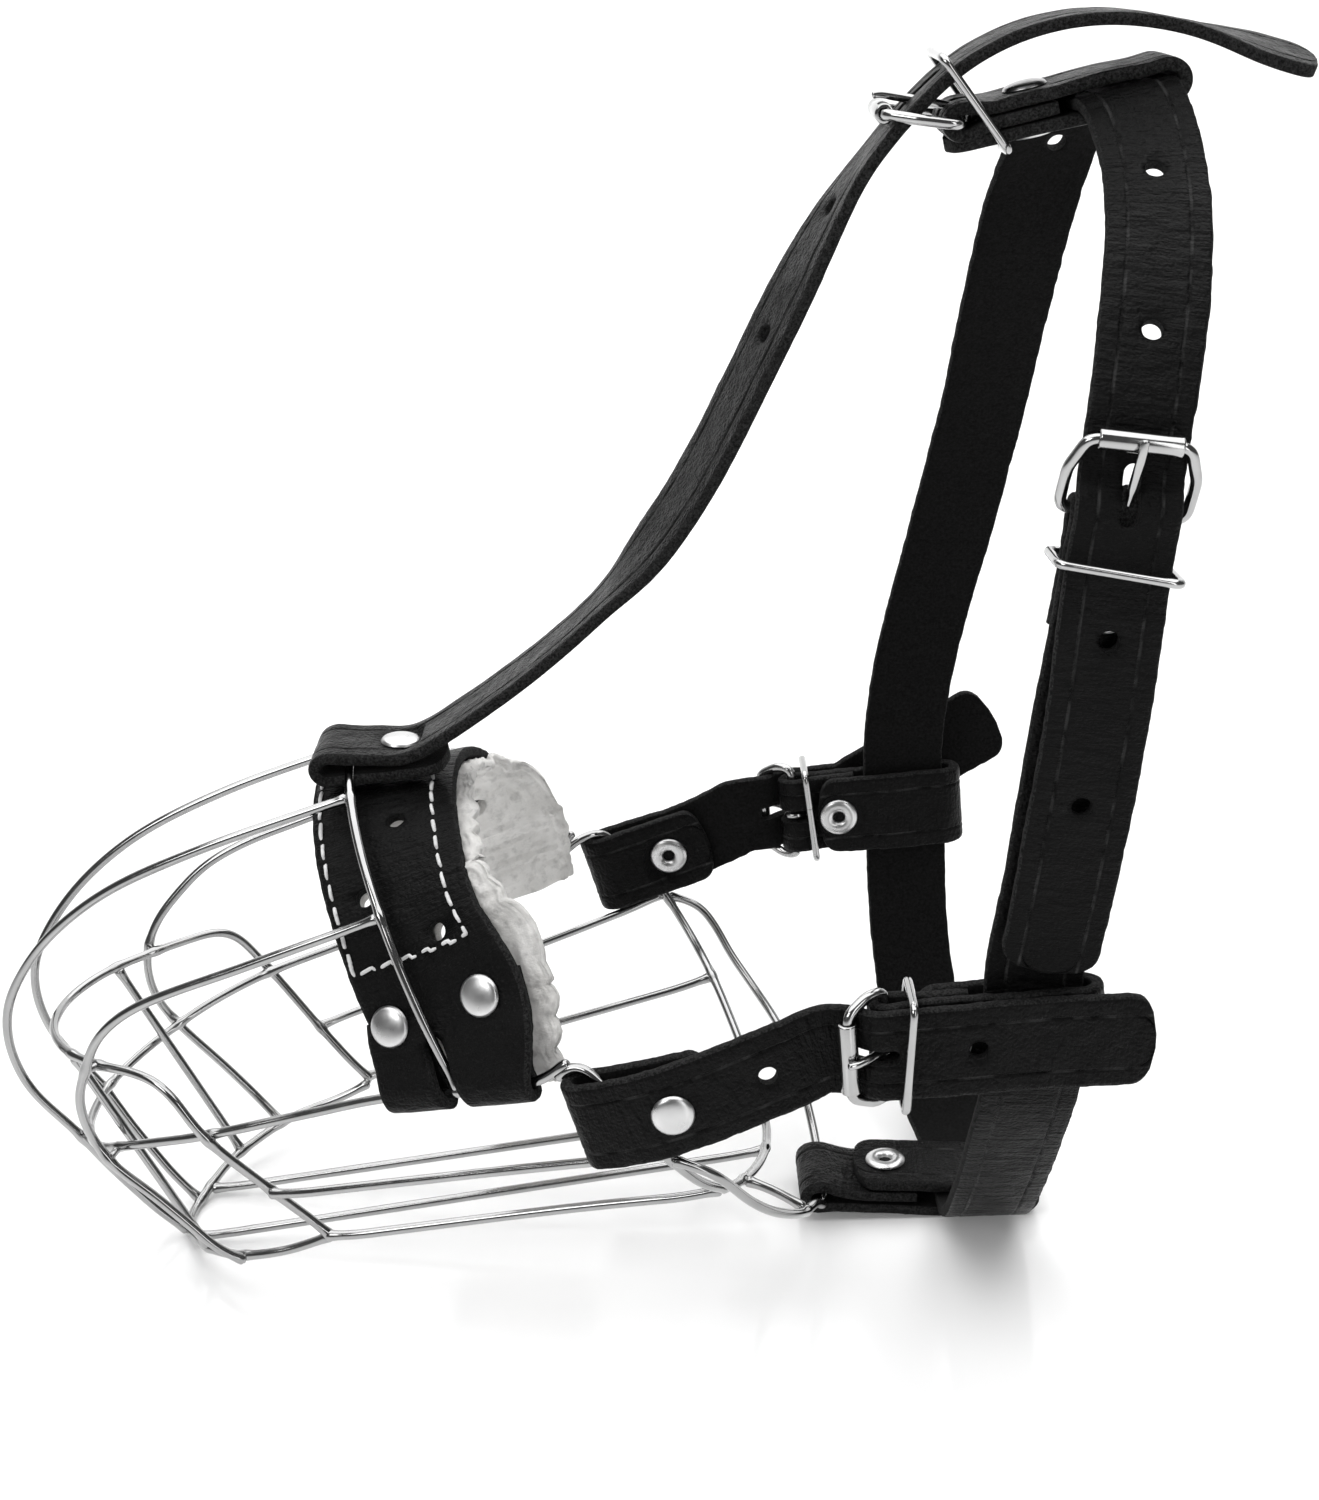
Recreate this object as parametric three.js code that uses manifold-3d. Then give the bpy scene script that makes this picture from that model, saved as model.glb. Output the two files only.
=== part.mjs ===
// Basket muzzle: a nose basket of welded steel wire, a padded leather noseband
// and a leather harness with roller buckles.
//
// Millimetres, +Z up. The nose points to -X, the left side of the head is at -Y.
// The muzzle stands on the front of its bottom ring and on its throat strap.
import * as THREE from 'three';
import Module from 'manifold-3d';
import { mergeVertices } from 'three/addons/utils/BufferGeometryUtils.js';

const wasm = await Module();
wasm.setup();

// ---------------------------------------------------------------- driving sizes
const GAP = 0.3;                      // clearance between touching pieces
const SEAT = 0.22;                    // the same, where leather is cut to fit round metal
const WIRE = 1.0;                     // radius of the basket wire
const LEATHER = 2.6;                  // thickness of the strap leather
const STRAP = 20;                     // width of every strap
const TIP = 5.5;                      // length of a strap's rounded tip
const LAYER = LEATHER + GAP;          // step from one strap layer to the next
const FOLD = WIRE + GAP + LEATHER / 2; // centre line radius of a fold round a wire

const NOSEBAND_WIDTH = 32;            // on top of the nose
const TAB_WIDTH = 39;                 // both tabs together, at their rivets
const FOLD_WIDTH = 35;                // the same, where they fold round the side rail
const TAB_SLOT = 5.2;                 // slot between the two tabs of the noseband
const FELT_EDGE = 1.4;                // felt showing beyond the leather
const FELT = 3.4;                     // thickness of the felt lining

const HOLE_RADIUS = 2.0;              // punched holes
const SHANK_RADIUS = 1.6;             // rivets
const CAP_RADIUS = 4.5;
const CAP_HEIGHT = 1.5;
const RING_HEIGHT = 0.9;

const BUCKLE_HALF = 12;               // side bars to the middle
const BUCKLE_WIRE = 1.15;
const ROLLER_RADIUS = 2.0;
const ROLLER_LENGTH = 16;
const TONGUE_RADIUS = 0.9;
const KEEPER_WIRE = 0.9;

// ---------------------------------------------------------------- materials
const chrome = new THREE.MeshStandardMaterial({ color: 0xd8dadc, roughness: 0.16, metalness: 1 });
const nickel = new THREE.MeshStandardMaterial({ color: 0xc9cacb, roughness: 0.24, metalness: 1 });
const leather = new THREE.MeshStandardMaterial({ color: 0x141414, roughness: 0.5, metalness: 0 });
const felt = new THREE.MeshStandardMaterial({ color: 0xdcdad6, roughness: 1, metalness: 0 });

const muzzle = new THREE.Group();

function add(name, geometry, material) {
  const mesh = new THREE.Mesh(geometry, material);
  mesh.name = name;
  muzzle.add(mesh);
  return mesh;
}

// ---------------------------------------------------------------- helpers
const V = (x, y, z) => new THREE.Vector3(x, y, z);
const vectors = (points) => points.map((p) => (p.isVector3 ? p : V(...p)));
const flipY = (points) => points.map(([x, y, z]) => [x, -y, z]);

// A half outline from the middle outwards becomes a whole one, left to right.
function bothSides(half) {
  const left = flipY(half).reverse();
  return left.concat(half[0][1] === 0 ? half.slice(1) : half);
}

function smooth(points) {
  return new THREE.CatmullRomCurve3(vectors(points), false, 'centripetal');
}

// A round bar along a curve.
function rod(path, radius, steps, sides = 6) {
  const circle = new THREE.Shape();
  for (let i = 0; i < sides; i += 1) {
    const a = (i / sides) * Math.PI * 2;
    if (i === 0) circle.moveTo(radius * Math.cos(a), radius * Math.sin(a));
    else circle.lineTo(radius * Math.cos(a), radius * Math.sin(a));
  }
  return new THREE.ExtrudeGeometry(circle, { steps, extrudePath: path, bevelEnabled: false });
}

// Every bar, by name, with room round it for the leather that touches it.
const reliefs = new Map();

function bar(name, path, radius, steps) {
  reliefs.set(name, () => rod(path, radius + SEAT, steps));
  return add(name, rod(path, radius, steps), chrome);
}

function wire(name, points, steps) {
  const path = points.length === 2 ? new THREE.LineCurve3(...vectors(points)) : smooth(points);
  return bar(name, path, WIRE, steps);
}

// Joins a row of equal polygons into a closed skin, with its faces pointing out.
function loft(sections) {
  const size = sections[0].length;
  const last = (sections.length - 1) * size;
  const position = sections.flat().flatMap((p) => [p.x, p.y, p.z]);
  const index = [];
  for (let row = 0; row < last; row += size) {
    for (let i = 0; i < size; i += 1) {
      const a = row + i;
      const b = row + ((i + 1) % size);
      index.push(a, b, a + size, b, b + size, a + size);
    }
  }
  for (let i = 1; i < size - 1; i += 1) {
    index.push(0, i + 1, i);
    index.push(last, last + i, last + i + 1);
  }
  const geometry = new THREE.BufferGeometry();
  geometry.setAttribute('position', new THREE.Float32BufferAttribute(position, 3));
  geometry.setIndex(index);
  if (volume(geometry) < 0) geometry.setIndex(index.reverse());
  return geometry;
}

function volume(geometry) {
  const at = (i) => V().fromBufferAttribute(geometry.attributes.position, geometry.index.array[i]);
  let sum = 0;
  for (let i = 0; i < geometry.index.count; i += 3) {
    sum += at(i).dot(at(i + 1).cross(at(i + 2)));
  }
  return sum;
}

function solid(geometry) {
  const bare = geometry.clone();
  bare.deleteAttribute('normal');
  bare.deleteAttribute('uv');
  const merged = mergeVertices(bare, 1e-4);
  const mesh = new wasm.Mesh({
    numProp: 3,
    vertProperties: new Float32Array(merged.attributes.position.array),
    triVerts: new Uint32Array(merged.index.array),
  });
  return new wasm.Manifold(mesh);
}

// The largest body stays, crumbs between two cuts are dropped.
function cut(geometry, tools) {
  let body = solid(geometry);
  for (const tool of tools) body = body.subtract(solid(tool));
  const bodies = body.simplify(0.04).decompose();
  const largest = bodies.reduce((a, b) => (a.volume() > b.volume() ? a : b));
  const { vertProperties, triVerts } = largest.getMesh();
  const result = new THREE.BufferGeometry();
  result.setAttribute('position', new THREE.BufferAttribute(vertProperties, 3));
  result.setIndex(new THREE.BufferAttribute(triVerts, 1));
  return result;
}

// Places a geometry whose local X, Y, Z are the given directions.
function placed(geometry, origin, xAxis, yAxis, zAxis) {
  const basis = new THREE.Matrix4().makeBasis(xAxis, yAxis, zAxis).setPosition(origin);
  return geometry.applyMatrix4(basis);
}

// Places a geometry with its local Y along a direction.
function upright(geometry, origin, up) {
  const yAxis = up.clone().normalize();
  const xAxis = Math.abs(yAxis.x) < 0.7 ? V(1, 0, 0) : V(0, 1, 0);
  xAxis.addScaledVector(yAxis, -xAxis.dot(yAxis)).normalize();
  return placed(geometry, origin, xAxis, yAxis, V().crossVectors(xAxis, yAxis));
}

// ---------------------------------------------------------------- straps
// A strap follows a route of [centre, width direction] pairs. It knows the place,
// the way along, the width direction and the face direction at any length. Its
// width is a number or a function of a place on it.
class Strap {
  constructor(route, { width = STRAP, thickness = LEATHER, pitch = 8, roundEnds = [] } = {}) {
    this.width = typeof width === 'function' ? width : () => width;
    this.thickness = thickness;
    this.centre = smooth(route.map(([p]) => p));
    this.across = smooth(route.map(([, w]) => w));
    this.samples = this.sample(pitch);
    this.length = this.samples[this.samples.length - 1].s;
    this.roundEnds = roundEnds;
  }

  frame(t) {
    const point = this.centre.getPoint(t);
    const along = this.centre.getTangent(t);
    const across = this.across.getPoint(t);
    across.addScaledVector(along, -across.dot(along)).normalize();
    const face = V().crossVectors(along, across).normalize();
    return { t, point, along, across, face };
  }

  // Close steps in the bends, wide ones on the straight.
  sample(pitch) {
    const fine = [];
    const count = 900;
    for (let i = 0; i <= count; i += 1) fine.push(this.frame(i / count));
    fine[0].s = 0;
    for (let i = 1; i <= count; i += 1) {
      fine[i].s = fine[i - 1].s + fine[i].point.distanceTo(fine[i - 1].point);
    }
    const kept = [fine[0]];
    for (const f of fine.slice(1, -1)) {
      const back = kept[kept.length - 1];
      const turned = f.along.angleTo(back.along) > 0.32;
      const twisted = f.across.angleTo(back.across) > 0.32;
      if (turned || twisted || f.s - back.s > pitch) kept.push(f);
    }
    const end = fine[count];
    if (end.s - kept[kept.length - 1].s < 0.5) kept.pop();
    kept.push(end);
    this.fine = fine;
    return kept;
  }

  at(s) {
    return this.fine.find((f) => f.s >= s) || this.fine[this.fine.length - 1];
  }

  geometry() {
    const rows = [...this.samples];
    const inset = [0.04, 0.16, 0.45, 1].map((share) => share * TIP);
    if (this.roundEnds.includes('start')) {
      while (rows.length > 2 && rows[0].s < TIP + 0.5) rows.shift();
      rows.unshift(...inset.map((d) => this.at(d)));
    }
    if (this.roundEnds.includes('end')) {
      while (rows.length > 2 && rows[rows.length - 1].s > this.length - TIP - 0.5) rows.pop();
      rows.push(...inset.map((d) => this.at(this.length - d)).reverse());
    }
    return loft(rows.map((f) => this.section(f)));
  }

  section(f) {
    const r = this.width(f) / 2;
    let half = r;
    const tips = [];
    if (this.roundEnds.includes('start')) tips.push(f.s);
    if (this.roundEnds.includes('end')) tips.push(this.length - f.s);
    for (const d of tips) {
      if (d < TIP) half = Math.min(half, r * Math.sqrt(1 - (1 - d / TIP) ** 2));
    }
    const corners = [[-1, -1], [1, -1], [1, 1], [-1, 1]];
    return corners.map(([a, b]) => f.point.clone()
      .addScaledVector(f.across, a * half)
      .addScaledVector(f.face, (b * this.thickness) / 2));
  }

  nearest(target) {
    const far = (f) => f.point.distanceTo(target);
    return this.fine.reduce((a, b) => (far(a) < far(b) ? a : b));
  }

  // A tool for a round hole near a place, off the middle by side.
  hole(target, side = 0, radius = HOLE_RADIUS) {
    const f = this.nearest(target);
    const tool = new THREE.CylinderGeometry(radius, radius, 8, 10);
    return upright(tool, f.point.clone().addScaledVector(f.across, side), f.face);
  }
}

// The leather and felt, cut at the end, when all that goes through them is known.
const strips = new Map();

function strap(name, band, { holes = [], around = [], tools = [], material = leather } = {}) {
  const all = holes.map(([x, y, z, side]) => band.hole(V(x, y, z), side));
  all.push(...tools, ...around.map((metal) => reliefs.get(metal)()));
  strips.set(name, { band, tools: all, material });
}

function cutStrips() {
  for (const [name, { band, tools, material }] of strips) {
    add(name, cut(band.geometry(), tools), material);
  }
}

// ---------------------------------------------------------------- rivets
// The cap is on the outer face, the holed ring on the inner one. With room, the
// same shape is the tool that seats the rivet in the leather.
function rivetGeometry(stack, cap, room = 0) {
  const top = stack / 2 + GAP - room;
  const shank = room > 0 ? HOLE_RADIUS : SHANK_RADIUS;
  const profile = [
    [0, top + cap + 2 * room],
    [2.4 + room, top + cap * 0.86 + 2 * room],
    [4.0 + room, top + cap * 0.42 + 2 * room],
    [CAP_RADIUS + room, top],
    [shank, top],
    [shank, -top],
    [4.2 + room, -top],
    [3.9 + room, -top - RING_HEIGHT * 0.8 - 2 * room],
    [2.4, -top - RING_HEIGHT - 2 * room],
    [1.4, -top - RING_HEIGHT * 0.4 - 2 * room],
    [0, -top - RING_HEIGHT * 0.4 - 2 * room],
  ];
  return new THREE.LatheGeometry(profile.map(([r, h]) => new THREE.Vector2(r, h)).reverse(), 12);
}

// outward is the side of the cap; origin is the middle of the leather stack.
function rivet(name, origin, outward, { layers = 2, spread = 0, cap = CAP_HEIGHT, through }) {
  const stack = layers * LAYER - GAP + spread;
  add(name, upright(rivetGeometry(stack, cap), origin, outward), nickel);
  for (const strip of through) {
    strips.get(strip).tools.push(upright(rivetGeometry(stack, cap, SEAT), origin, outward));
  }
}

// ---------------------------------------------------------------- wire basket
const ARCH_CENTRE = 58;               // height of the arch's middle
const ARCH_HALF = 53;
const ARCH_RISE = 61;
const ARCH_LEAN = 0.43;               // how far the arch leans back as it comes down
const ARCH_TOP = ARCH_CENTRE + ARCH_RISE;
const ARCH_FRONT = 50.5;

function archPoint(angle) {
  const z = ARCH_CENTRE + ARCH_RISE * Math.cos(angle);
  return [ARCH_FRONT + ARCH_LEAN * (ARCH_TOP - z), ARCH_HALF * Math.sin(angle), z];
}

const degrees = (a) => (a * Math.PI) / 180;

function arch() {
  const points = [];
  for (let a = -84.3; a <= 84.4; a += 84.3 / 6) points.push(archPoint(degrees(a)));
  wire('nose_arch', points, 28);
}

function noseBars() {
  const inner = [
    [50.6, 17.6, 115.4], [18, 17.5, 104.6], [-3, 16, 95.2], [-16, 14.5, 85.8], [-24.5, 13, 76.5],
    [-30.6, 12, 66], [-32, 12, 57.6], [-30.8, 12, 49.6], [-28, 12, 43], [-19.6, 11.5, 31.8],
    [-12.8, 10, 20.6], [-0.4, 7.2, 2.6],
  ];
  wire('nose_bar_inner_right', inner, 26);
  wire('nose_bar_inner_left', flipY(inner), 26);
  wire('nose_bar_outer_left', [
    [57.4, -39.6, 96.4], [30.8, -38, 86.5], [2.9, -34.6, 74.8], [-5.6, -32.8, 67], [-9.8, -31.2, 58],
    [-11.8, -30.6, 52.4], [-11.8, -30, 45.7], [-9.6, -30, 39.2], [-6.6, -30.4, 34.4],
    [3, -31.6, 25.6], [12.4, -32.4, 15.6], [18.6, -32.8, 8.4],
  ], 26);
  wire('nose_bar_outer_right', [
    [57.4, 39.6, 96.4], [29.9, 39, 87.2], [15, 37.4, 82.1], [6.2, 35.8, 77.6], [-0.6, 34, 71.6],
    [-6.2, 32, 65], [-9.2, 31, 58], [-9.8, 30.6, 51], [-8.4, 31, 44], [-4.6, 32.4, 36.4],
    [6.4, 33.2, 22.6], [17.2, 32.8, 9.2],
  ], 26);
}

function midRing() {
  const half = [
    [-23.6, 0, 57], [-22.6, 8, 57.1], [-18.6, 16.8, 57.5], [-13.6, 23, 57.9], [-6.8, 28.4, 58.4],
    [0.7, 33, 59.1], [6.6, 37, 58.9], [10.6, 39.4, 56.6], [17, 41.2, 47.4],
    [31.3, 37.4, 29.2], [41.4, 34.6, 17.2],
  ];
  wire('mid_ring', bothSides(half), 48);
}

function chinBars() {
  const bar = [[-14.2, 21.6, 56.4], [9.4, 21.6, 7.4]];
  wire('chin_bar_right', bar, 1);
  wire('chin_bar_left', flipY(bar), 1);
}

const RAIL = [
  [-18.2, 0, 31.6], [-16.8, 11.5, 32], [-12.2, 21, 33.8], [-5.6, 27.2, 37], [3.6, 33, 41.2],
  [16.8, 38.7, 45.9], [39.2, 42.8, 52.6], [58, 47, 58.5], [75.5, 53.1, 63], [93, 59.2, 67.5],
];

function sideRail() {
  const right = RAIL;
  const left = flipY(RAIL.concat([[96.4, 60.2, 68.2]])).reverse();
  wire('side_rail', left.concat(right.slice(1)), 44);
}

function bottomRing() {
  const half = [
    [1.2, 0, WIRE], [2.2, 6, 1.3], [4.6, 12, 3], [8, 18.5, 5], [13.4, 24.6, 6.8],
    [20.4, 30, 9.2], [28, 32.4, 11.4], [39.4, 33.4, 14.6],
  ];
  wire('bottom_ring', bothSides(half), 30);
}

function floorBars() {
  const inner = [[5.8, 10.4, 1.7], [138.4, 9.6, 19.4]];
  const outer = [[41.4, 36.9, 17.6], [98.1, 45, 28.7], [126.6, 50, 34]];
  const side = [[30.6, 40.2, 31], [82.2, 53.2, 43.5], [114.8, 62.6, 51.7]];
  for (const [name, points, steps] of [
    ['floor_bar_inner', inner, 1], ['floor_bar_outer', outer, 4], ['lower_rail', side, 4],
  ]) {
    wire(`${name}_right`, points, steps);
    wire(`${name}_left`, flipY(points), steps);
  }
}

const REAR_HOOP = [
  [140.8, 0, 19.8], [140, 10, 20.6], [138.2, 20, 23], [134.5, 35, 28.4], [129.1, 51, 36.2],
  [123, 60.5, 45], [116.6, 64.8, 54.6], [109.6, 64.6, 64], [104.2, 62.4, 70], [99.4, 60, 73.2],
  [95.4, 58.2, 74.2],
];

function rearHoop() {
  wire('rear_hoop', bothSides(REAR_HOOP), 44);
}

function throatHoop() {
  const half = [
    [153.6, 0, 6.2], [153.5, 10, 6.5], [152.8, 17.5, 9.8], [150.4, 29, 17.4], [146.2, 43, 24],
    [140, 52.6, 30.9], [134.6, 58.2, 37.6], [130.4, 62.6, 44.4], [126.4, 65, 49],
    [121.6, 66.6, 52.2],
  ];
  wire('throat_hoop', bothSides(half), 40);
  wire('throat_strut', [[136.2, -37, 28.4], [140, -37.4, 27], [146, -38, 24]], 3);
}

arch();
noseBars();
midRing();
chinBars();
sideRail();
bottomRing();
floorBars();
rearHoop();
throatHoop();

// ---------------------------------------------------------------- noseband
// The leather goes over the nose inside the arch. On each side its two tabs pass
// outside the side rail, fold under it and come up again on the inside.
const BAND_HALF = 50.6;
const BAND_RISE = 55.2;
const BAND_TOP = ARCH_CENTRE + BAND_RISE;
const BAND_FRONT = 57.5;
const BAND_LEAN = 0.375;
const TAB_RAIL = RAIL.slice(-3);

function bandPoint(angle, inset = 0) {
  const z = ARCH_CENTRE + (BAND_RISE - inset) * Math.cos(angle);
  return V(BAND_FRONT + BAND_LEAN * (BAND_TOP - z), (BAND_HALF - inset) * Math.sin(angle), z);
}

function bandAcross(angle) {
  const side = Math.sin(angle);
  return V(0.96, 0.31 * side, 0.05 + 0.17 * Math.abs(side));
}

// Axes at the right tabs: along the rail, outwards from it, and up.
const railWay = V(...TAB_RAIL[2]).sub(V(...TAB_RAIL[0])).normalize();
const railOut = V(0, 1, 0).addScaledVector(railWay, -railWay.y).normalize();
const railUp = V().crossVectors(railWay, railOut);
const railPoint = V(...TAB_RAIL[0]).lerp(V(...TAB_RAIL[2]), 0.5);

const tabPoint = (out, up, way = 0) => railPoint.clone()
  .addScaledVector(railOut, out)
  .addScaledVector(railUp, up)
  .addScaledVector(railWay, way);

const toLeft = (v) => V(v.x, -v.y, v.z);

// Height above the rail, how far out the outer layer is, and the step to the inner one.
const TAB_LAYERS = [
  [2, FOLD, 2 * FOLD], [6, 0.7, 4.6], [10, -2, 3.4], [14, -4.3, 3.1], [18, -6.4, 3.1],
  [22, -8.3, 3.1],
];

function mirrored(half) {
  return half.slice(1).map(([p, w]) => [toLeft(p), toLeft(w)]).reverse().concat(half);
}

// Narrow on top of the nose, widest at the rivets, narrower again at the fold.
function bandWidth(f) {
  const drop = BAND_TOP - f.point.z;
  const low = THREE.MathUtils.smoothstep(drop, 15, 38);
  const lowest = THREE.MathUtils.smoothstep(drop, 36, 52);
  return NOSEBAND_WIDTH + (TAB_WIDTH - NOSEBAND_WIDTH) * low - (TAB_WIDTH - FOLD_WIDTH) * lowest;
}

function noseRoute() {
  const half = [0, 15, 30, 42, 53].map(degrees).map((a) => [bandPoint(a), bandAcross(a)]);
  for (const [up, out] of TAB_LAYERS.slice(0, 5).reverse()) half.push([tabPoint(out, up), railWay]);
  for (const a of [0, 45, 90, 135, 180].map(degrees)) {
    half.push([tabPoint(FOLD * Math.cos(a), -FOLD * Math.sin(a)), railWay]);
  }
  for (const [up, out, step] of TAB_LAYERS) half.push([tabPoint(out - step, up), railWay]);
  return half;
}

function feltLining() {
  const inset = (LEATHER + FELT) / 2 + GAP;
  const half = [0, 15, 30, 42].map(degrees).map((a) => [bandPoint(a, inset), bandAcross(a)]);
  for (const [up, out, step] of [...TAB_LAYERS].reverse()) {
    half.push([tabPoint(out - step - inset - 0.3, up), railWay]);
  }
  half.push([tabPoint(-FOLD - inset - 0.3, -3), railWay]);
  const shift = V(FELT_EDGE, 0, 0.3);
  for (const [p] of half) p.add(shift);
  return new Strap(mirrored(half), { width: (f) => bandWidth(f) + 2 * FELT_EDGE, thickness: FELT });
}

const nose = new Strap(mirrored(noseRoute()), { width: bandWidth });
const noseTools = [];
for (const side of [-1, 1]) {
  // The slot leans forward with the arch that comes down in it.
  const slotUp = railUp.clone().addScaledVector(railWay, -0.27).normalize();
  const slotWay = railWay.clone().addScaledVector(railUp, 0.27).normalize();
  const axes = [slotWay, railOut.clone(), slotUp];
  const origin = tabPoint(-2, 3.5, -1.9);
  const slot = new THREE.BoxGeometry(TAB_SLOT, 26, 19);
  if (side < 0) {
    noseTools.push(placed(slot, toLeft(origin), toLeft(slotWay).negate(), ...axes.slice(1).map(toLeft)));
  } else {
    noseTools.push(placed(slot, origin, ...axes));
  }
  for (const [angle, out] of [[21, 2.5], [39, -7], [53, 6]]) {
    const a = degrees(angle * side);
    const target = bandPoint(a);
    noseTools.push(nose.hole(target, nose.nearest(target).across.x < 0 ? -out : out));
  }
}
strap('noseband', nose, { tools: noseTools, around: ['nose_arch', 'side_rail'] });

// The felt keeps clear of the leather in front of it.
const seat = new Strap(mirrored(noseRoute()),
  { width: (f) => bandWidth(f) + 2 * GAP, thickness: LEATHER + 2 * GAP });
strap('felt_lining', feltLining(), {
  around: ['nose_arch'], tools: [seat.geometry()], material: felt,
});

// Height above the rail and place along it.
const TAB_RIVETS = { front: [14, -13.3], rear: [18, 8.8] };
for (const [end, [up, way]] of Object.entries(TAB_RIVETS)) {
  const middle = tabPoint(-7.4 - (up - 17) * 0.5, up, way);
  const outward = railOut.clone().addScaledVector(railUp, 0.46);
  const through = ['noseband', 'felt_lining'];
  rivet(`noseband_rivet_${end}_right`, middle, outward, { spread: 0.6, through });
  rivet(`noseband_rivet_${end}_left`, toLeft(middle), toLeft(outward), { spread: 0.6, through });
}

// ---------------------------------------------------------------- buckles
// A buckle sits at its heel bar. The frame rises towards the roller, so that the
// free strap passes under the roller and over the heel.
const HEEL_FOLD = BUCKLE_WIRE + GAP + LEATHER / 2;
const BILLET_OVER = HEEL_FOLD + LAYER + 0.1;
const BILLET_OUT = LAYER / 2 + LAYER + 1; // clears the flat caps of the rivets below it
const FLAT_CAP = 0.7;
const ROLLER_RISE = 5.1;
const SLIT = 2 * TONGUE_RADIUS + 1.6; // width of the slots that the tongues go through

class Buckle {
  // ahead: heel to roller along the strap; out: away from the head.
  constructor(name, heel, ahead, out, { length, keeper, keeperTilt = 0, keeperLean = 0 }) {
    this.name = name;
    this.heel = V(...heel);
    this.ahead = V(...ahead).normalize();
    this.out = V(...out);
    this.out.addScaledVector(this.ahead, -this.out.dot(this.ahead)).normalize();
    this.across = V().crossVectors(this.out, this.ahead);
    const tilt = Math.asin(ROLLER_RISE / length);
    this.length = length;
    this.u = this.ahead.clone().multiplyScalar(Math.cos(tilt))
      .addScaledVector(this.out, Math.sin(tilt));
    this.n = this.out.clone().multiplyScalar(Math.cos(tilt))
      .addScaledVector(this.ahead, -Math.sin(tilt));
    this.rollerAhead = length * Math.cos(tilt);
    this.keeperAt = keeper;
    this.keeperTilt = keeperTilt;
    this.keeperLean = keeperLean;
  }

  // A place on the strap: ahead of the heel, out from it, across it.
  at(ahead, out, across = 0) {
    return this.heel.clone()
      .addScaledVector(this.ahead, ahead)
      .addScaledVector(this.out, out)
      .addScaledVector(this.across, across);
  }

  inFrame(u, n, v = 0) {
    return this.heel.clone()
      .addScaledVector(this.u, u)
      .addScaledVector(this.n, n)
      .addScaledVector(this.across, v);
  }

  frame() {
    const w = BUCKLE_HALF;
    const l = this.length;
    const rollerHalf = ROLLER_LENGTH / 2;
    const bevel = Math.min(6.5, l - 4);
    const outline = [
      [0, 6.2], [0, w - 1.6], [0.5, w - 0.5], [1.6, w], [l - bevel, w], [l - bevel + 1.2, w - 0.5],
      [l - 1.2, rollerHalf + 1.9], [l - 0.4, rollerHalf + 1.1], [l, rollerHalf],
      [l, 0], [l, -rollerHalf], [l - 0.4, -rollerHalf - 1.1], [l - 1.2, -rollerHalf - 1.9],
      [l - bevel + 1.2, 0.5 - w], [l - bevel, -w], [1.6, -w], [0.5, 0.5 - w], [0, 1.6 - w],
      [0, 5.8],
    ];
    const places = outline.map(([u, v]) => this.inFrame(u, 0, v));
    const curve = new THREE.CatmullRomCurve3(places, false, 'catmullrom', 0.08);
    bar(`${this.name}_frame`, curve, BUCKLE_WIRE, 56);
  }

  roller() {
    const inner = BUCKLE_WIRE + GAP;
    const h = ROLLER_LENGTH / 2 - 0.2;
    const profile = [[inner, -h], [ROLLER_RADIUS, -h], [ROLLER_RADIUS, h], [inner, h], [inner, -h]];
    const tube = new THREE.LatheGeometry(profile.map(([r, y]) => new THREE.Vector2(r, y)), 12);
    const middle = this.inFrame(this.length, 0);
    add(`${this.name}_roller`, upright(tube, middle, this.across), chrome);
    const r = ROLLER_RADIUS + SEAT;
    reliefs.set(`${this.name}_roller`, () => upright(
      new THREE.CylinderGeometry(r, r, 2 * h + 2 * GAP, 12), middle, this.across));
  }

  tongue() {
    const r = BUCKLE_WIRE + GAP + TONGUE_RADIUS;
    const places = [];
    for (let a = 300; a >= 110; a -= 38) {
      const t = degrees(a);
      places.push(this.inFrame(r * Math.cos(t), r * Math.sin(t)));
    }
    const tip = ROLLER_RADIUS + GAP + TONGUE_RADIUS;
    places.push(this.inFrame(0.4, r + 0.05));
    places.push(this.inFrame(3, r + 0.2));
    places.push(this.inFrame(this.length, tip));
    places.push(this.inFrame(this.length + 1.8, tip - 0.3));
    bar(`${this.name}_tongue`, smooth(places), TONGUE_RADIUS, 22);
  }

  // A wire loop round all the strap layers behind the heel.
  keeper() {
    const [ahead, low, high] = this.keeperAt;
    const w = STRAP / 2 + GAP + KEEPER_WIRE + 0.5;
    const corner = 1.5;
    const outline = [
      [low, 3], [low, w - corner], [low + 0.4, w - 0.4], [low + corner, w],
      [high - corner, w], [high - 0.4, w - 0.4], [high, w - corner],
      [high, corner - w], [high - 0.4, 0.4 - w], [high - corner, -w],
      [low + corner, -w], [low + 0.4, 0.4 - w], [low, corner - w], [low, 2.6],
    ];
    const places = outline.map(([o, v]) => this.at(
      ahead + v * this.keeperTilt + (o - low) * this.keeperLean, o, v));
    const curve = new THREE.CatmullRomCurve3(places, false, 'catmullrom', 0.08);
    bar(`${this.name}_keeper`, curve, KEEPER_WIRE, 40);
  }

  make() {
    this.frame();
    this.roller();
    this.tongue();
    this.keeper();
  }

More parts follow.
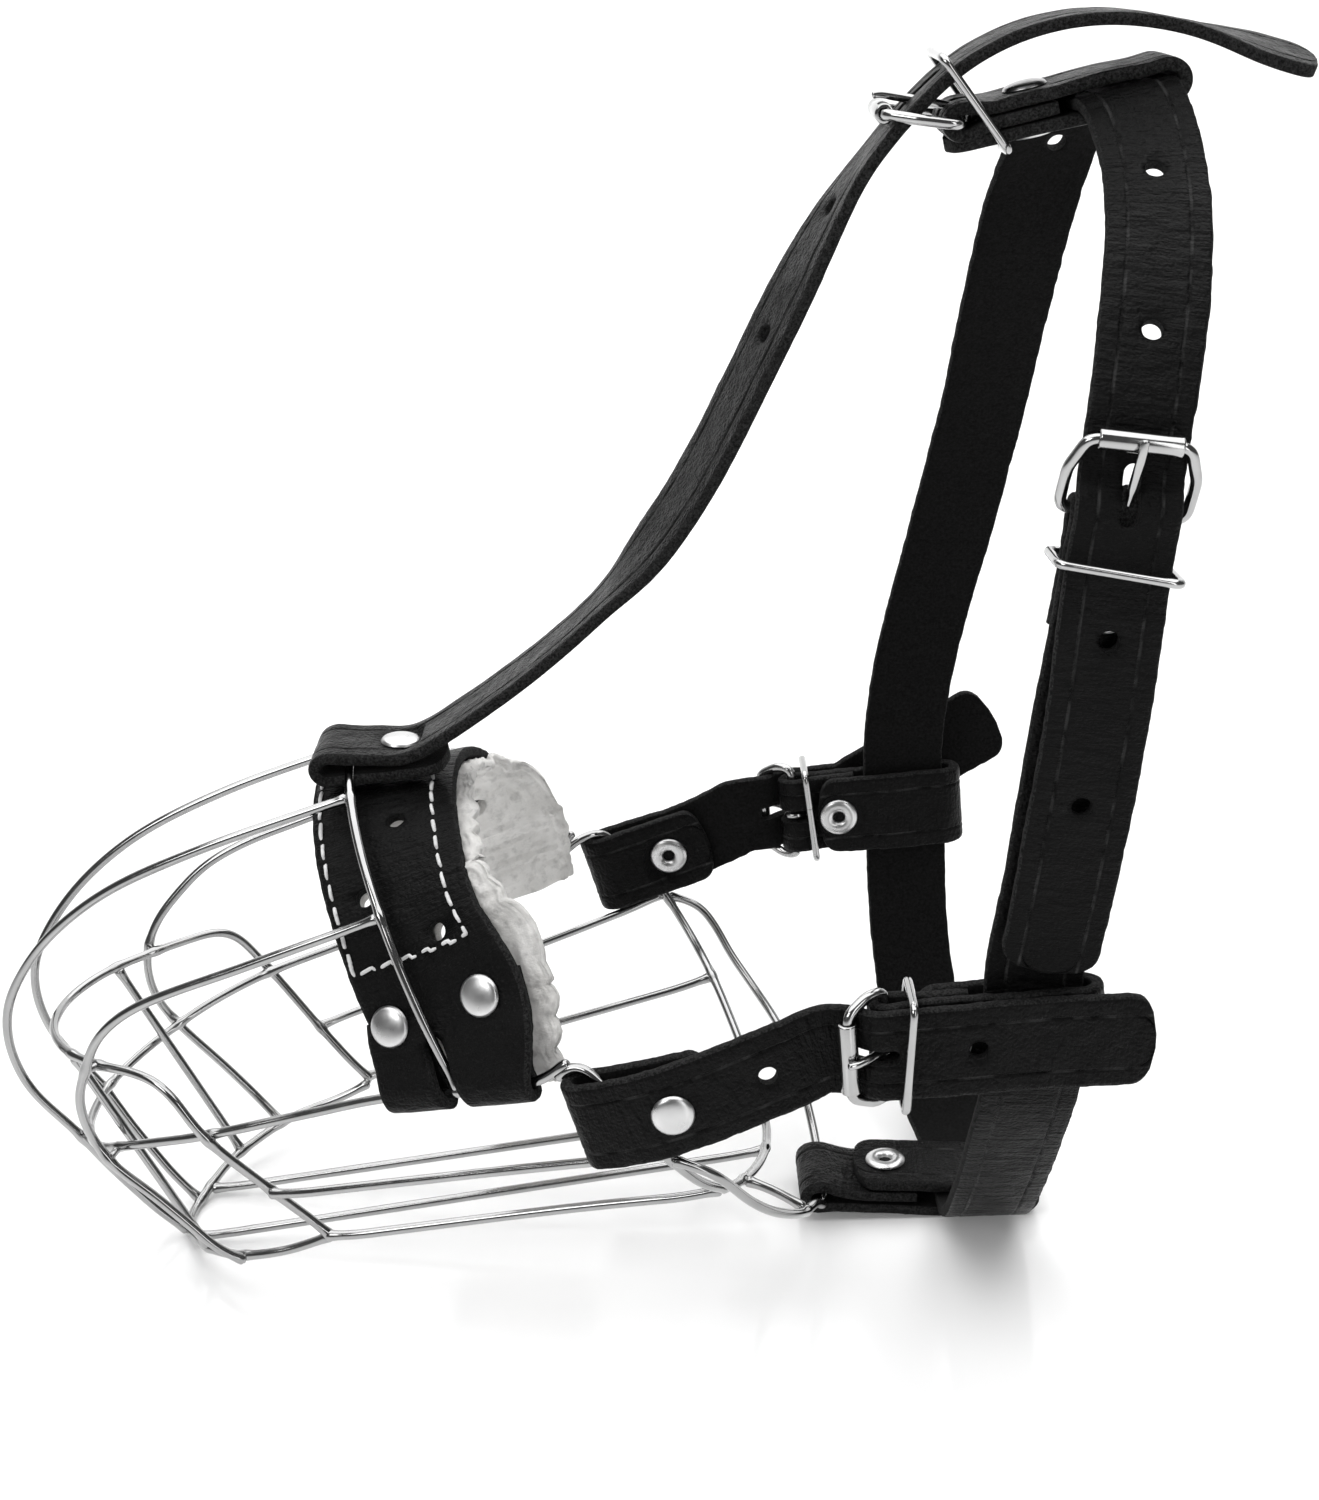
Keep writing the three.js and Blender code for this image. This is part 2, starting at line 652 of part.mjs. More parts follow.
  // The free strap's route, from beyond the roller to behind the heel.
  billet() {
    const ends = [[this.rollerAhead + 6, 0.9], [this.rollerAhead, 1.3]];
    if (this.length > 12) ends.push([9, 1.5]);
    return ends.concat([
      [5.7, 2.3], [4.2, 4.1], [2.3, 5.4], [0, BILLET_OVER], [-6, BILLET_OUT + 0.1],
      [-14, BILLET_OUT],
    ]).map(([ahead, out]) => this.at(ahead, out));
  }

  // The holding strap's end: out along the outer layer, round the heel and back.
  heelFold(flap) {
    const route = [this.at(-7, LAYER / 2), this.at(-3, HEEL_FOLD - 0.3)];
    for (const a of [90, 45, 0, -45, -90]) {
      const t = degrees(a);
      route.push(this.at(HEEL_FOLD * Math.cos(t), HEEL_FOLD * Math.sin(t)));
    }
    route.push(this.at(-3, 0.3 - HEEL_FOLD), this.at(-7, -LAYER / 2), this.at(-flap, -LAYER / 2));
    return route;
  }

  // Tools for the slot in the heel fold and for the hole in the free strap.
  heelSlot() {
    const slot = new THREE.BoxGeometry(11, 9, SLIT);
    return placed(slot, this.at(0.2, 0), this.ahead.clone(), this.out.clone(),
      V().crossVectors(this.ahead, this.out));
  }

  tongueHole() {
    const hole = new THREE.BoxGeometry(9.5, 9, SLIT);
    const ahead = Math.min(4.2, this.length * 0.36);
    return placed(hole, this.at(ahead, 4.4), this.ahead.clone(), this.out.clone(),
      V().crossVectors(this.ahead, this.out));
  }
}

const OUT_LEFT = [0, -1, 0];
const OUT_RIGHT = [0, 1, 0];
const buckles = {
  cheekLeft: new Buckle('cheek_buckle_left', [163.2, -62.45, 76.2], [-1, 0, -0.05], OUT_LEFT,
    { length: 9.5, keeper: [-3.9, -5.3, 8.7], keeperTilt: 0.12 }),
  cheekRight: new Buckle('cheek_buckle_right', [152, 62.95, 75], [-1, 0, -0.06], OUT_RIGHT,
    { length: 9.5, keeper: [-3.9, -5.3, 8.7], keeperTilt: 0.06 }),
  neck: new Buckle('neck_buckle', [206.9, -60.5, 184.5], [0.15, 0.05, 1], OUT_LEFT,
    { length: 15, keeper: [-9.8, -4.2, 8.4], keeperTilt: 0.06 }),
  crown: new Buckle('crown_buckle', [183, 0, 250.6], [-1, 0, -0.2], [-0.2, 0, 1],
    { length: 15, keeper: [-8, -7.1, 13.2], keeperLean: 0.46 }),
};
for (const b of Object.values(buckles)) b.make();

// ---------------------------------------------------------------- straps
const ACROSS_Y = V(0, 1, 0);
const CROWN_TWIST = V(-0.33, 0.94, 0);
const TAIL_TWIST = V(0, 0.98, 0.2);
const NECK_WAY = V(1, 0, 0);
const INNER = -1.5 * LAYER - 0.5;    // layers of a loop, out from the buckle's heel
const OUTER = LAYER / 2 + 0.5;

const withWay = (points, across) => vectors(points).map((p) => [p, across]);
const inPlane = (points, across = ACROSS_Y) => withWay(points.map(([x, z]) => [x, 0, z]), across);

// Half a turn of strap round a middle in the XZ plane.
function turnXZ(x, z, radius, from, to) {
  const points = [];
  for (let i = 0; i <= 4; i += 1) {
    const a = degrees(from + ((to - from) * i) / 4);
    points.push([x + radius * Math.cos(a), z + radius * Math.sin(a)]);
  }
  return points;
}

// A strap that holds a buckle and loops round the neck strap behind it.
function buckleLoop(name, b, { start, rear, rivetAt, cap = CAP_HEIGHT }) {
  const radius = (OUTER - INNER) / 2;
  const turn = [-90, -45, 0, 45, 90].map(degrees).map((a) => b.at(
    rear - radius * Math.cos(a), (INNER + OUTER) / 2 + radius * Math.sin(a)));
  const route = [
    b.at(start, -1.5 * LAYER), b.at(rivetAt, -1.5 * LAYER), b.at(rivetAt - 5, -1.5 * LAYER),
    b.at(rivetAt - 9, INNER), b.at(rear + 4, INNER), ...turn, b.at(rear + 4, OUTER),
    b.at(rivetAt - 9, OUTER), b.at(rivetAt - 5, LAYER / 2), b.at(rivetAt, LAYER / 2),
    ...b.heelFold(-rivetAt + 4.6),
  ];
  const band = new Strap(withWay(route, b.across.clone()), { roundEnds: ['start'], pitch: 4 });
  strap(name, band, { tools: [b.heelSlot()] });
  rivet(`${name}_rivet`, b.at(rivetAt, -LAYER / 2), b.out, { layers: 3, cap, through: [name] });
}

// Folded round the arch, up between the eyes and through the crown buckle.
function foreheadStrap() {
  const route = [
    ...inPlane([[72, 118.4], [66, 117.4], [61.4, 117.3], [55, 116.6], [50.5, 116.1]]),
    ...inPlane(turnXZ(45.6, 118.9, 2.8, 270, 90)),
    ...inPlane([[50.5, 121.8], [55.5, 121], [61.4, 120.3], [68, 122.3], [77.5, 129], [85.5, 134]]),
    ...inPlane([[93.5, 140], [107.2, 151.6]]),
    ...inPlane([[118.5, 164], [129.7, 180.2], [138.6, 196.8], [147.3, 213.6]], CROWN_TWIST),
    ...inPlane([[157, 231.5]], V(-0.2, 0.97, 0)),
    ...inPlane([[165, 243.5], [171.1, 250.4], [176.8, 256.4], [182.7, 261.6], [189, 265]]),
    ...inPlane([[197.5, 268.2], [207.6, 269.7], [217.8, 269.2], [229, 266.6]]),
    ...inPlane([[243.5, 261.9], [249.4, 260], [254, 258.8]], TAIL_TWIST),
  ];
  const band = new Strap(route, { roundEnds: ['start', 'end'] });
  const f = band.nearest(V(176, 0, 255.6));
  const slot = placed(new THREE.BoxGeometry(12, 9, SLIT), f.point.clone(), f.along.clone(),
    f.face.clone(), V().crossVectors(f.along, f.face));
  strap('forehead_strap', band, {
    holes: [[144.8, 0, 208.8, 0], [158.7, 0, 234, 0]],
    tools: [slot],
    around: ['nose_arch', 'crown_buckle_frame', 'crown_buckle_roller'],
  });
  rivet('forehead_rivet', V(61.4, 0, 118.8), V(0.06, 0, 1),
    { spread: 0.2, through: ['forehead_strap', 'noseband'] });
}

// From its free end up over the crown, down and under the throat, and up again to
// the neck buckle. It goes between the layers of the four loops.
function neckStrap() {
  const b = buckles.neck;
  const forward = V(1, 0, -0.08);
  const { crown, cheekLeft, cheekRight } = buckles;
  const between = (loop, ahead, across) => loop.at(ahead, -LAYER / 2, across);
  const crownWay = crown.ahead.clone().negate();
  const route = [
    ...withWay([[194.4, -65.4, 93], [197, -66, 107], [200, -66.6, 128], [203, -66.9, 150]], forward),
    ...withWay(b.billet().reverse(), forward),
    ...withWay([[213.6, -50.5, 220.5], [216.6, -38, 235.5], [217.2, -26, 245.6]], NECK_WAY),
    ...withWay([[216.6, -17, 252.6]], V(0.99, 0.05, 0.1)),
    ...withWay([11.4, 4, -4, -11.4].map((v) => between(crown, -31 - 0.13 * v, v)), crownWay),
    ...withWay([[210.2, 15.6, 252.2], [206.6, 19.5, 245.6]], V(0.96, 0.2, 0.05)),
    ...withWay([[202.4, 28, 227], [199.1, 39, 203], [195.7, 49, 178]], NECK_WAY),
    ...withWay([[190.8, 55.5, 153], [185.6, 59.4, 132], [181, 61.2, 108]], NECK_WAY),
    ...withWay([12, 0, -12].map((v) => between(cheekRight, -27.7, v)), NECK_WAY),
    ...withWay([[180.2, 58.8, 50], [181.8, 51, 31.6], [184.4, 38, 15.4], [187, 25.5, 7.4]], NECK_WAY),
    ...withWay([[189.2, 17, 5], [189.8, 11.8, 4.3], [190, 4, 4.3], [190, -4, 4.3]], NECK_WAY),
    ...withWay([[190, -11.8, 4.3], [190, -17, 5.8], [190, -26, 12.6], [190.4, -38, 26]], NECK_WAY),
    ...withWay([[191.4, -50.5, 44.4], [192, -58, 56.5]], NECK_WAY),
    ...withWay([11.5, 0, -11.5].map((v) => between(cheekLeft, -29.8, v)), NECK_WAY),
    ...withWay([[195.6, -61.4, 107], [198.4, -62.4, 128], [201.4, -62.8, 150]], forward),
    ...withWay([b.at(-23, LAYER / 2), b.at(-14, LAYER / 2), ...b.heelFold(22.6)], forward),
  ];
  const band = new Strap(route, { roundEnds: ['start'] });
  strap('neck_strap', band, {
    holes: [
      [217, -30, 242.3, 0], [212.7, -53.1, 216.5, 0], [204.1, -66.7, 161.9, 0],
      [200.1, -66.6, 128.5, 0], [206.6, 20, 244.1, 0],
    ],
    tools: [b.heelSlot(), b.tongueHole()],
    around: ['neck_buckle_frame', 'neck_buckle_roller'],
  });
  rivet('neck_rivet', b.at(-18, 0), b.out, { cap: FLAT_CAP, through: ['neck_strap'] });
  const room = new Strap(route, { width: STRAP + 2 * SEAT, thickness: LEATHER + 2 * SEAT });
  strips.get('crown_strap').tools.push(room.geometry());
}

// Folded round the rear hoop, then through the cheek buckle, with a free end behind.
function cheekStrap(side) {
  const name = side < 0 ? 'left' : 'right';
  const b = side < 0 ? buckles.cheekLeft : buckles.cheekRight;
  const s = (points) => points.map(([x, y, z]) => [x, side * y, z]);
  const fold = s([
    [129.6, 63.6, 68], [125, 63.5, 66.5], [120, 63, 64.9], [114, 61.6, 63.3], [108, 60, 61.8],
    [103.6, 59.6, 60.9], [100.9, 60.6, 60.4], [99.9, 62.6, 60.2], [100.9, 64.7, 60.4],
    [104, 66.2, 61], [109, 67.4, 62], [115, 67.7, 63.5], [120, 67.2, 64.9], [125, 66.7, 66.5],
  ]);
  const free = side < 0
    ? s([[186, 67.8, 77.6], [202, 67.4, 77.9], [216.4, 66.7, 77.6]])
    : s([[172, 68.8, 79.6], [186, 69.6, 87], [203.4, 70.6, 96.6]]);
  const freeWay = side < 0 ? V(0.02, 0, 1) : V(-0.42, 0, 1);
  const middle = side < 0 ? s([[133, 66, 69.4], [141, 65.2, 72.4]]) : [];
  const route = [
    ...withWay(fold, V(-0.28, 0, 1)),
    ...withWay(middle, V(-0.22, 0, 1)),
    ...withWay(b.billet(), V(-0.06, 0, 1)),
    ...withWay(free, freeWay),
  ];
  const band = new Strap(route, { roundEnds: ['start', 'end'] });
  strap(`cheek_strap_${name}`, band, {
    holes: side < 0 ? [[138.7, -65.2, 71.6, 0], [181, -67.8, 77.2, 0]] : [[186, 69.6, 87, 0]],
    tools: [b.tongueHole()],
    around: ['rear_hoop', `${b.name}_frame`, `${b.name}_roller`],
  });
  rivet(`cheek_rivet_${name}`, V(119.4, side * 65.1, 64.6), V(0.02, side, 0),
    { spread: 1.7, through: [`cheek_strap_${name}`] });
}

// Loops round the throat hoop in front and the neck strap behind.
function throatStrap() {
  const route = inPlane([
    [175.6, 5.7], [169, 5.9], [163, 6.1], [157.6, 7.9], [154.4, 9],
    ...turnXZ(151.8, 6.3, LAYER, 90, 270),
    [155, 3.3], [160, 3.1], [169, 3.1], [173.5, 2.2], [178, 1.3], [185, 1.3], [197, 1.3],
    ...turnXZ(200.6, 4.4, 3.1, -90, 90),
    [197, 7.5], [190, 7.5], [183, 7.7], [177, 8.7], [169, 9], [161.4, 9.4],
  ]);
  const band = new Strap(route, { roundEnds: ['end'] });
  strap('throat_strap', band, { around: ['throat_hoop'] });
  rivet('throat_rivet', V(169, 0, 6), V(0, 0, -1), { layers: 3, cap: 1.2, through: ['throat_strap'] });
}

foreheadStrap();
buckleLoop('crown_strap', buckles.crown, { start: 3, rear: -41.4, rivetAt: -14.6 });
buckleLoop('cheek_loop_left', buckles.cheekLeft,
  { start: -5.2, rear: -40, rivetAt: -12.4, cap: FLAT_CAP });
buckleLoop('cheek_loop_right', buckles.cheekRight,
  { start: -5.2, rear: -38, rivetAt: -10.9, cap: FLAT_CAP });
neckStrap();
cheekStrap(-1);
cheekStrap(1);
throatStrap();
cutStrips();

// ---------------------------------------------------------------- shared frame
const bounds = new THREE.Box3().setFromObject(muzzle);
const middle = bounds.getCenter(V());
for (const mesh of muzzle.children) mesh.geometry.translate(-middle.x, -middle.y, -bounds.min.z);

export default muzzle;
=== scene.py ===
"""Basket muzzle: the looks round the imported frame.

Routes and sizes below are in millimetres on the design's own axes: -X towards the
nose, -Y the left side of the head, +Z up, x = 0 at the front of the bottom ring.
Every mesh of the muzzle is moved into the shared frame, in metres, as it is made.
"""
import math

import bmesh
import bpy
import numpy as np
from mathutils import Matrix, Vector


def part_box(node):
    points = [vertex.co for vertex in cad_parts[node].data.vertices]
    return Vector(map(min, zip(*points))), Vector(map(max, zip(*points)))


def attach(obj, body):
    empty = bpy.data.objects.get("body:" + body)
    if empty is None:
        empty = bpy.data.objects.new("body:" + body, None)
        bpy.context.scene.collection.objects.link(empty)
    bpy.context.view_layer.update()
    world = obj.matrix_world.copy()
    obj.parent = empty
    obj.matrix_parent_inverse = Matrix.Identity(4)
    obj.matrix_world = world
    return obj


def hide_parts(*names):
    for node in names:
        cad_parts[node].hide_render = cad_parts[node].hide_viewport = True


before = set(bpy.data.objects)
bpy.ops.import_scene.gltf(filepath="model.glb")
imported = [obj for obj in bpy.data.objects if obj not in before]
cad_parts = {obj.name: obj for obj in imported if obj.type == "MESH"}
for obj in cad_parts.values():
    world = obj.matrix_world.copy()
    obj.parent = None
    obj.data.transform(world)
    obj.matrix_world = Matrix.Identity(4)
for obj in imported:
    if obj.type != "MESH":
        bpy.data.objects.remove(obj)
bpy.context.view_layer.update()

# ------------ driving sizes
MM = 0.001
GAP = 0.3  # clearance between the CAD's layers
WIRE = 1.0  # radius of the basket wire
LEATHER = 2.6  # thickness of the strap leather
STRAP = 20.0  # width of every strap
LAYER = LEATHER + GAP  # step from one strap layer to the next
FOLD = WIRE + GAP + LEATHER / 2
NOSEBAND_WIDTH = 32.0
TAB_WIDTH = 39.0  # both tabs together, at their rivets
FOLD_WIDTH = 35.0  # the same, where they fold round the side rail
TAB_SLOT = 5.2
FELT_EDGE = 1.4
FELT = 3.4
HOLE_RADIUS = 2.0
HOLE_DEEP = 5  # cuts through the leather and no more
FELT_HOLE = 2.5
FELT_DEEP = 24
CAP_RADIUS = 4.5
CAP_HEIGHT = 1.5
FLAT_CAP = 0.7
RING_HEIGHT = 0.9
BUCKLE_HALF = 12.0
BUCKLE_WIRE = 1.15
ROLLER_RADIUS = 2.0
ROLLER_LENGTH = 16.0
ROLLER_RISE = 5.1
TONGUE_RADIUS = 0.9
KEEPER_WIRE = 0.9
TIP = 5.5  # length of a strap's rounded tip
CREASE = 5.9  # creased lines, from the middle of the strap
PLAIN_UV = 1.0  # set beside a strap's own map, so that plain leather gets no painted crease highlight

CHIN_BAR = [(-14.2, 21.6, 56.4), (9.4, 21.6, 7.4)]

# The chin bar is straight, so its box's middle is the middle of its two ends.
bar_low, bar_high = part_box("chin_bar_right")
ORIGIN = (np.array(CHIN_BAR[0]) + CHIN_BAR[1]) / 2 - np.array((bar_low + bar_high) / 2) / MM

rng = np.random.default_rng(7)


# ------------ curves
SPAN_STEPS = 24  # points of a curve between two of its places


def unit(v):
    """Rows of v at length one."""
    return v / np.maximum(np.linalg.norm(v, axis=-1, keepdims=True), 1e-9)


def spline(points, tension=None):
    """Points along a Catmull-Rom curve, centripetal unless a tension is given."""
    p = np.array(points, float)
    p = np.vstack([2 * p[0] - p[1], p, 2 * p[-1] - p[-2]])
    t = np.linspace(0, 1, SPAN_STEPS, endpoint=False)[:, None]
    spans = []
    for a, b, c, d in zip(p, p[1:], p[2:], p[3:]):
        if tension is None:
            da, db, dc = (max(math.sqrt(np.linalg.norm(q)), 1e-3) for q in (b - a, c - b, d - c))
            start = ((b - a) / da - (c - a) / (da + db) + (c - b) / db) * db
            end = ((c - b) / db - (d - b) / (db + dc) + (d - c) / dc) * db
        else:
            start = tension * (c - a)
            end = tension * (d - b)
        spans.append(b + start * t + (3 * (c - b) - 2 * start - end) * t ** 2
                     + (2 * (b - c) + start + end) * t ** 3)
    return np.vstack(spans + [p[-2:-1]])


def lengths(p):
    """How far along a row of points each one is."""
    return np.concatenate([[0], np.cumsum(np.linalg.norm(np.diff(p, axis=0), axis=1))])


def evenly(step, main, *others):
    """The curves again with a point at each step along the first, and the distances."""
    length = lengths(main)
    s = np.linspace(0, length[-1], max(3, int(round(length[-1] / step)) + 1))
    again = [np.stack([np.interp(s, length, c[:, k]) for k in range(3)], axis=1)
             for c in (main, *others)]
    return s, again


def ease(p, reach):
    """Smooths a row of points over a few neighbours, keeping both ends."""
    reach = min(reach, len(p) - 1)
    if reach < 1:
        return p
    weights = np.exp(-0.5 * (np.arange(-reach, reach + 1) / (reach / 2)) ** 2)
    weights /= weights.sum()
    padded = np.vstack([2 * p[0] - p[reach:0:-1], p, 2 * p[-1] - p[-2:-reach - 2:-1]])
    return np.stack([np.convolve(padded[:, k], weights, "valid") for k in range(3)], axis=1)


def smoothstep(value, start, end):
    share = np.clip((value - start) / (end - start), 0, 1)
    return share * share * (3 - 2 * share)


def tangents(p):
    return unit(np.gradient(p, axis=0))


def circle(radius, degrees):
    """Places on a circle, one for each angle."""
    return [(radius * math.cos(a), radius * math.sin(a)) for a in map(math.radians, degrees)]


def rough(count, reach, size):
    """A smooth row of random numbers."""
    noise = rng.normal(size=count + 2 * reach)
    weights = np.hanning(2 * reach + 3)[1:-1]
    return size * np.convolve(noise, weights / np.sqrt((weights ** 2).sum()), "valid")[:count]


# ------------ meshes
def make(name, vertices, faces, materials, kinds=None, uvs=None, smooth=True):
    """A mesh object from points on the design's axes, its faces turned outwards."""
    mesh = bpy.data.meshes.new(name)
    placed = (np.asarray(vertices, float) - ORIGIN) * MM
    mesh.from_pydata(placed.tolist(), [], faces)
    for m in materials:
        mesh.materials.append(m)
    if kinds is not None:
        mesh.polygons.foreach_set("material_index", np.asarray(kinds, dtype=np.int32))
    mesh.polygons.foreach_set("use_smooth", [smooth] * len(mesh.polygons))
    if uvs is not None:
        layer = mesh.uv_layers.new(name="UVMap")
        corner = np.empty(len(mesh.loops), dtype=np.int32)
        mesh.loops.foreach_get("vertex_index", corner)
        layer.data.foreach_set("uv", np.asarray(uvs, float)[corner].ravel())
    mesh.update()
    bm = bmesh.new()
    bm.from_mesh(mesh)
    bmesh.ops.recalc_face_normals(bm, faces=bm.faces)
    bm.to_mesh(mesh)
    bm.free()
    return linked(name, mesh)


def linked(name, data):
    obj = bpy.data.objects.new(name, data)
    bpy.context.scene.collection.objects.link(obj)
    return obj


def grid_faces(rows, cols):
    """Faces between rows of points, each row a ring."""
    return [(a + j, a + (j + 1) % cols, a + cols + (j + 1) % cols, a + cols + j)
            for a in range(0, (rows - 1) * cols, cols) for j in range(cols)]


def closed_faces(rows, cols):
    """The same with the first and last ring filled."""
    last = (rows - 1) * cols
    return grid_faces(rows, cols) + [tuple(range(cols))[::-1], tuple(range(last, last + cols))]


def transported(p):
    """Two directions across a curve that don't twist along it."""
    t = tangents(p)
    side = np.cross(t[0], (0, 0, 1) if abs(t[0][2]) < 0.9 else (1, 0, 0))
    sides = [side / np.linalg.norm(side)]
    for row in t[1:]:
        side = sides[-1] - row * np.dot(sides[-1], row)
        sides.append(side / np.linalg.norm(side))
    sides = np.array(sides)
    return sides, np.cross(t, sides)


DOME_LIFT = (0.94, 0.7, 0.34)  # heights of a domed end's rings, and backwards their radii
DOME_FLAT = 0.6  # the whole dome's height, as a share of the bar's radius
TURNED_SIDES = 40  # of a rivet


def tube_mesh(p, radius, sides=14):
    """Vertices and faces of a round bar with domed ends."""
    p = np.asarray(p, float)
    radius = np.broadcast_to(np.asarray(radius, float), (len(p),)).copy()
    u, v = transported(p)
    t = tangents(p)
    drop = DOME_LIFT[::-1]
    head = [p[0] - t[0] * radius[0] * a * DOME_FLAT for a in DOME_LIFT]
    tail = [p[-1] + t[-1] * radius[-1] * a * DOME_FLAT for a in drop]
    radius = np.concatenate([radius[0] * np.array(drop), radius, radius[-1] * np.array(DOME_LIFT)])
    u, v = (np.pad(way, ((3, 3), (0, 0)), "edge")[:, None] for way in (u, v))
    p = np.vstack([head, p, tail])
    angle = np.arange(sides)[:, None] / sides * 2 * math.pi
    ring = p[:, None] + radius[:, None, None] * (np.cos(angle) * u + np.sin(angle) * v)
    return ring.reshape(-1, 3), closed_faces(len(p), sides)


def joined(name, parts, materials, smooth=True):
    """One object from several (vertices, faces)."""
    vertices, faces, start = [], [], 0
    for part, part_faces in parts:
        vertices.append(np.asarray(part, float))
        faces += [tuple(i + start for i in f) for f in part_faces]
        start += len(part)
    return make(name, np.vstack(vertices), faces, materials, smooth=smooth)


def lathe_mesh(profile, origin, axis):
    """A turned shape: profile is (radius, height) pairs, from the axis to the axis."""
    axis = unit(np.array(axis, float))
    u = unit(np.cross(axis, (1, 0, 0) if abs(axis[0]) < 0.8 else (0, 1, 0)))
    w = np.cross(axis, u)
    angle = np.arange(TURNED_SIDES)[:, None] / TURNED_SIDES * 2 * math.pi
    across = np.cos(angle) * u + np.sin(angle) * w
    rings = [np.asarray(origin) + axis * h + across * max(r, 0.02) for r, h in profile]
    return np.vstack(rings), closed_faces(len(rings), TURNED_SIDES)


def settle(obj, body, slot, *nodes):
    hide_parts(*nodes)
    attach(obj, body)
    return obj


# ------------ materials
class Nodes:
    """A material's node tree, built a line at a time."""

    def __init__(self, name):
        self.material = bpy.data.materials.new(name)
        self.material.use_nodes = True
        self.tree = self.material.node_tree
        self.shader = self.tree.nodes["Principled BSDF"]
        self.coords = self.tree.nodes.new("ShaderNodeTexCoord")
        self.place = self.coords.outputs["Object"]

    def node(self, kind, **values):
        made = self.tree.nodes.new(kind)
        for key, value in values.items():
            if hasattr(made, key):
                setattr(made, key, value)
            else:
                made.inputs[key].default_value = value
        return made

    def link(self, a, b):
        self.tree.links.new(a, b)

    def mapped(self, scale, output="Object"):
        mapping = self.node("ShaderNodeMapping")
        mapping.inputs["Scale"].default_value = scale
        self.link(self.coords.outputs[output], mapping.inputs["Vector"])
        return mapping.outputs["Vector"]

    def noise(self, scale, detail, roughness=0.55, vector=None):
        made = self.node("ShaderNodeTexNoise", Scale=scale, Detail=detail, Roughness=roughness)
        self.link(vector or self.place, made.inputs["Vector"])
        return made.outputs["Fac"]

    def cells(self, scale):
        made = self.node("ShaderNodeTexVoronoi", feature="DISTANCE_TO_EDGE", Scale=scale)
        self.link(self.place, made.inputs["Vector"])
        return made.outputs["Distance"]

    def ramp(self, value, low, high, start=0.0, end=1.0):
        made = self.node("ShaderNodeValToRGB")
        for stop, place, tone in zip(made.color_ramp.elements, (start, end), (low, high)):
            stop.position = place
            stop.color = grey(tone)
        self.link(value, made.inputs["Fac"])
        return made.outputs["Color"]

    def span(self, value, low, high, start=0.0, end=1.0):
        ends = {"From Min": start, "From Max": end, "To Min": low, "To Max": high}
        made = self.node("ShaderNodeMapRange", **ends)
        self.link(value, made.inputs["Value"])
        return made.outputs["Result"]

    def math(self, operation, a, b):
        made = self.node("ShaderNodeMath", operation=operation)
        self.link(a, made.inputs[0])
        if isinstance(b, float):
            made.inputs[1].default_value = b
        else:
            self.link(b, made.inputs[1])
        return made.outputs["Value"]

    def painted_crease_highlight(self, off_middle):
        """A painted highlight: one along both crease lines of a strap, broken into dashes here and
        there, else zero.
        """
        split = self.node("ShaderNodeSeparateXYZ")
        self.link(self.coords.outputs["UV"], split.inputs["Vector"])
        across = self.math("ABSOLUTE", split.outputs["X"], 0.0)
        away = self.math("ABSOLUTE", self.math("SUBTRACT", across, off_middle), 0.0)
        line = self.span(away, 1.0, 0.0, 0.15 * MM, 0.42 * MM)
        # noise that breaks the painted highlight into dashes
        patches = self.noise(1.0, 3, vector=self.mapped((300, 180, 1), "UV"))
        highlight_dashes = self.span(patches, 0.0, 1.0, 0.42, 0.62)
        return self.math("MULTIPLY", line, highlight_dashes)

    def bumps(self, *layers):
        """Bump layers, each (height, strength, distance in millimetres)."""
        normal = None
        for height, strength, distance in layers:
            made = self.node("ShaderNodeBump", Strength=strength, Distance=distance * MM)
            self.link(height, made.inputs["Height"])
            if normal is not None:
                self.link(normal, made.inputs["Normal"])
            normal = made.outputs["Normal"]
        self.link(normal, self.shader.inputs["Normal"])

    def uniform(self, **values):
        for key, value in values.items():
            self.shader.inputs[key.replace("_", " ")].default_value = value

    def colour(self, output):
        self.link(output, self.shader.inputs["Base Color"])

    def gloss(self, output):
        self.link(output, self.shader.inputs["Roughness"])


def grey(value):
    if isinstance(value, tuple):
        return (*value, 1.0)
    return (value, value, value, 1.0)


def leather_grain():
    """Black finished leather: pebble and stretch creases, with a painted highlight along the crease
    lines.
    """
    m = Nodes("leather_grain")
    creases = m.noise(1.0, 5, 0.62, m.mapped((120, 520, 1), "UV"))
    tone = m.node("ShaderNodeMix", data_type="RGBA", blend_type="ADD")
    m.link(m.ramp(m.noise(45, 3), 0.002, 0.004, 0.3, 0.75), tone.inputs["A"])
    # painted highlight: a lighter grey added to the colour along the crease lines
    tone.inputs["B"].default_value = grey(0.035)
    m.link(m.painted_crease_highlight(CREASE * MM), tone.inputs["Factor"])
    m.colour(tone.outputs["Result"])
    m.gloss(m.span(m.noise(160, 4), 0.30, 0.46, 0.3, 0.7))
    m.uniform(Specular_IOR_Level=0.09, Coat_Weight=0.02, Coat_Roughness=0.25)
    m.bumps((m.cells(800), 1.0, 0.34), (m.noise(1500, 3), 0.8, 0.22), (creases, 1.0, 1.3),
            (m.noise(230, 4, 0.6), 0.8, 1.0))
    return m.material


def leather_flesh():
    """The suede side, matt and slightly furry."""
    m = Nodes("leather_flesh")
    nap = m.noise(1500, 6, 0.7)
    m.colour(m.ramp(nap, 0.001, 0.010, 0.35, 0.7))
    m.uniform(Roughness=0.93, Specular_IOR_Level=0.1, Sheen_Weight=0.04, Sheen_Roughness=0.5)
    m.bumps((nap, 0.8, 0.25), (m.noise(90, 3), 0.3, 0.4))
    return m.material


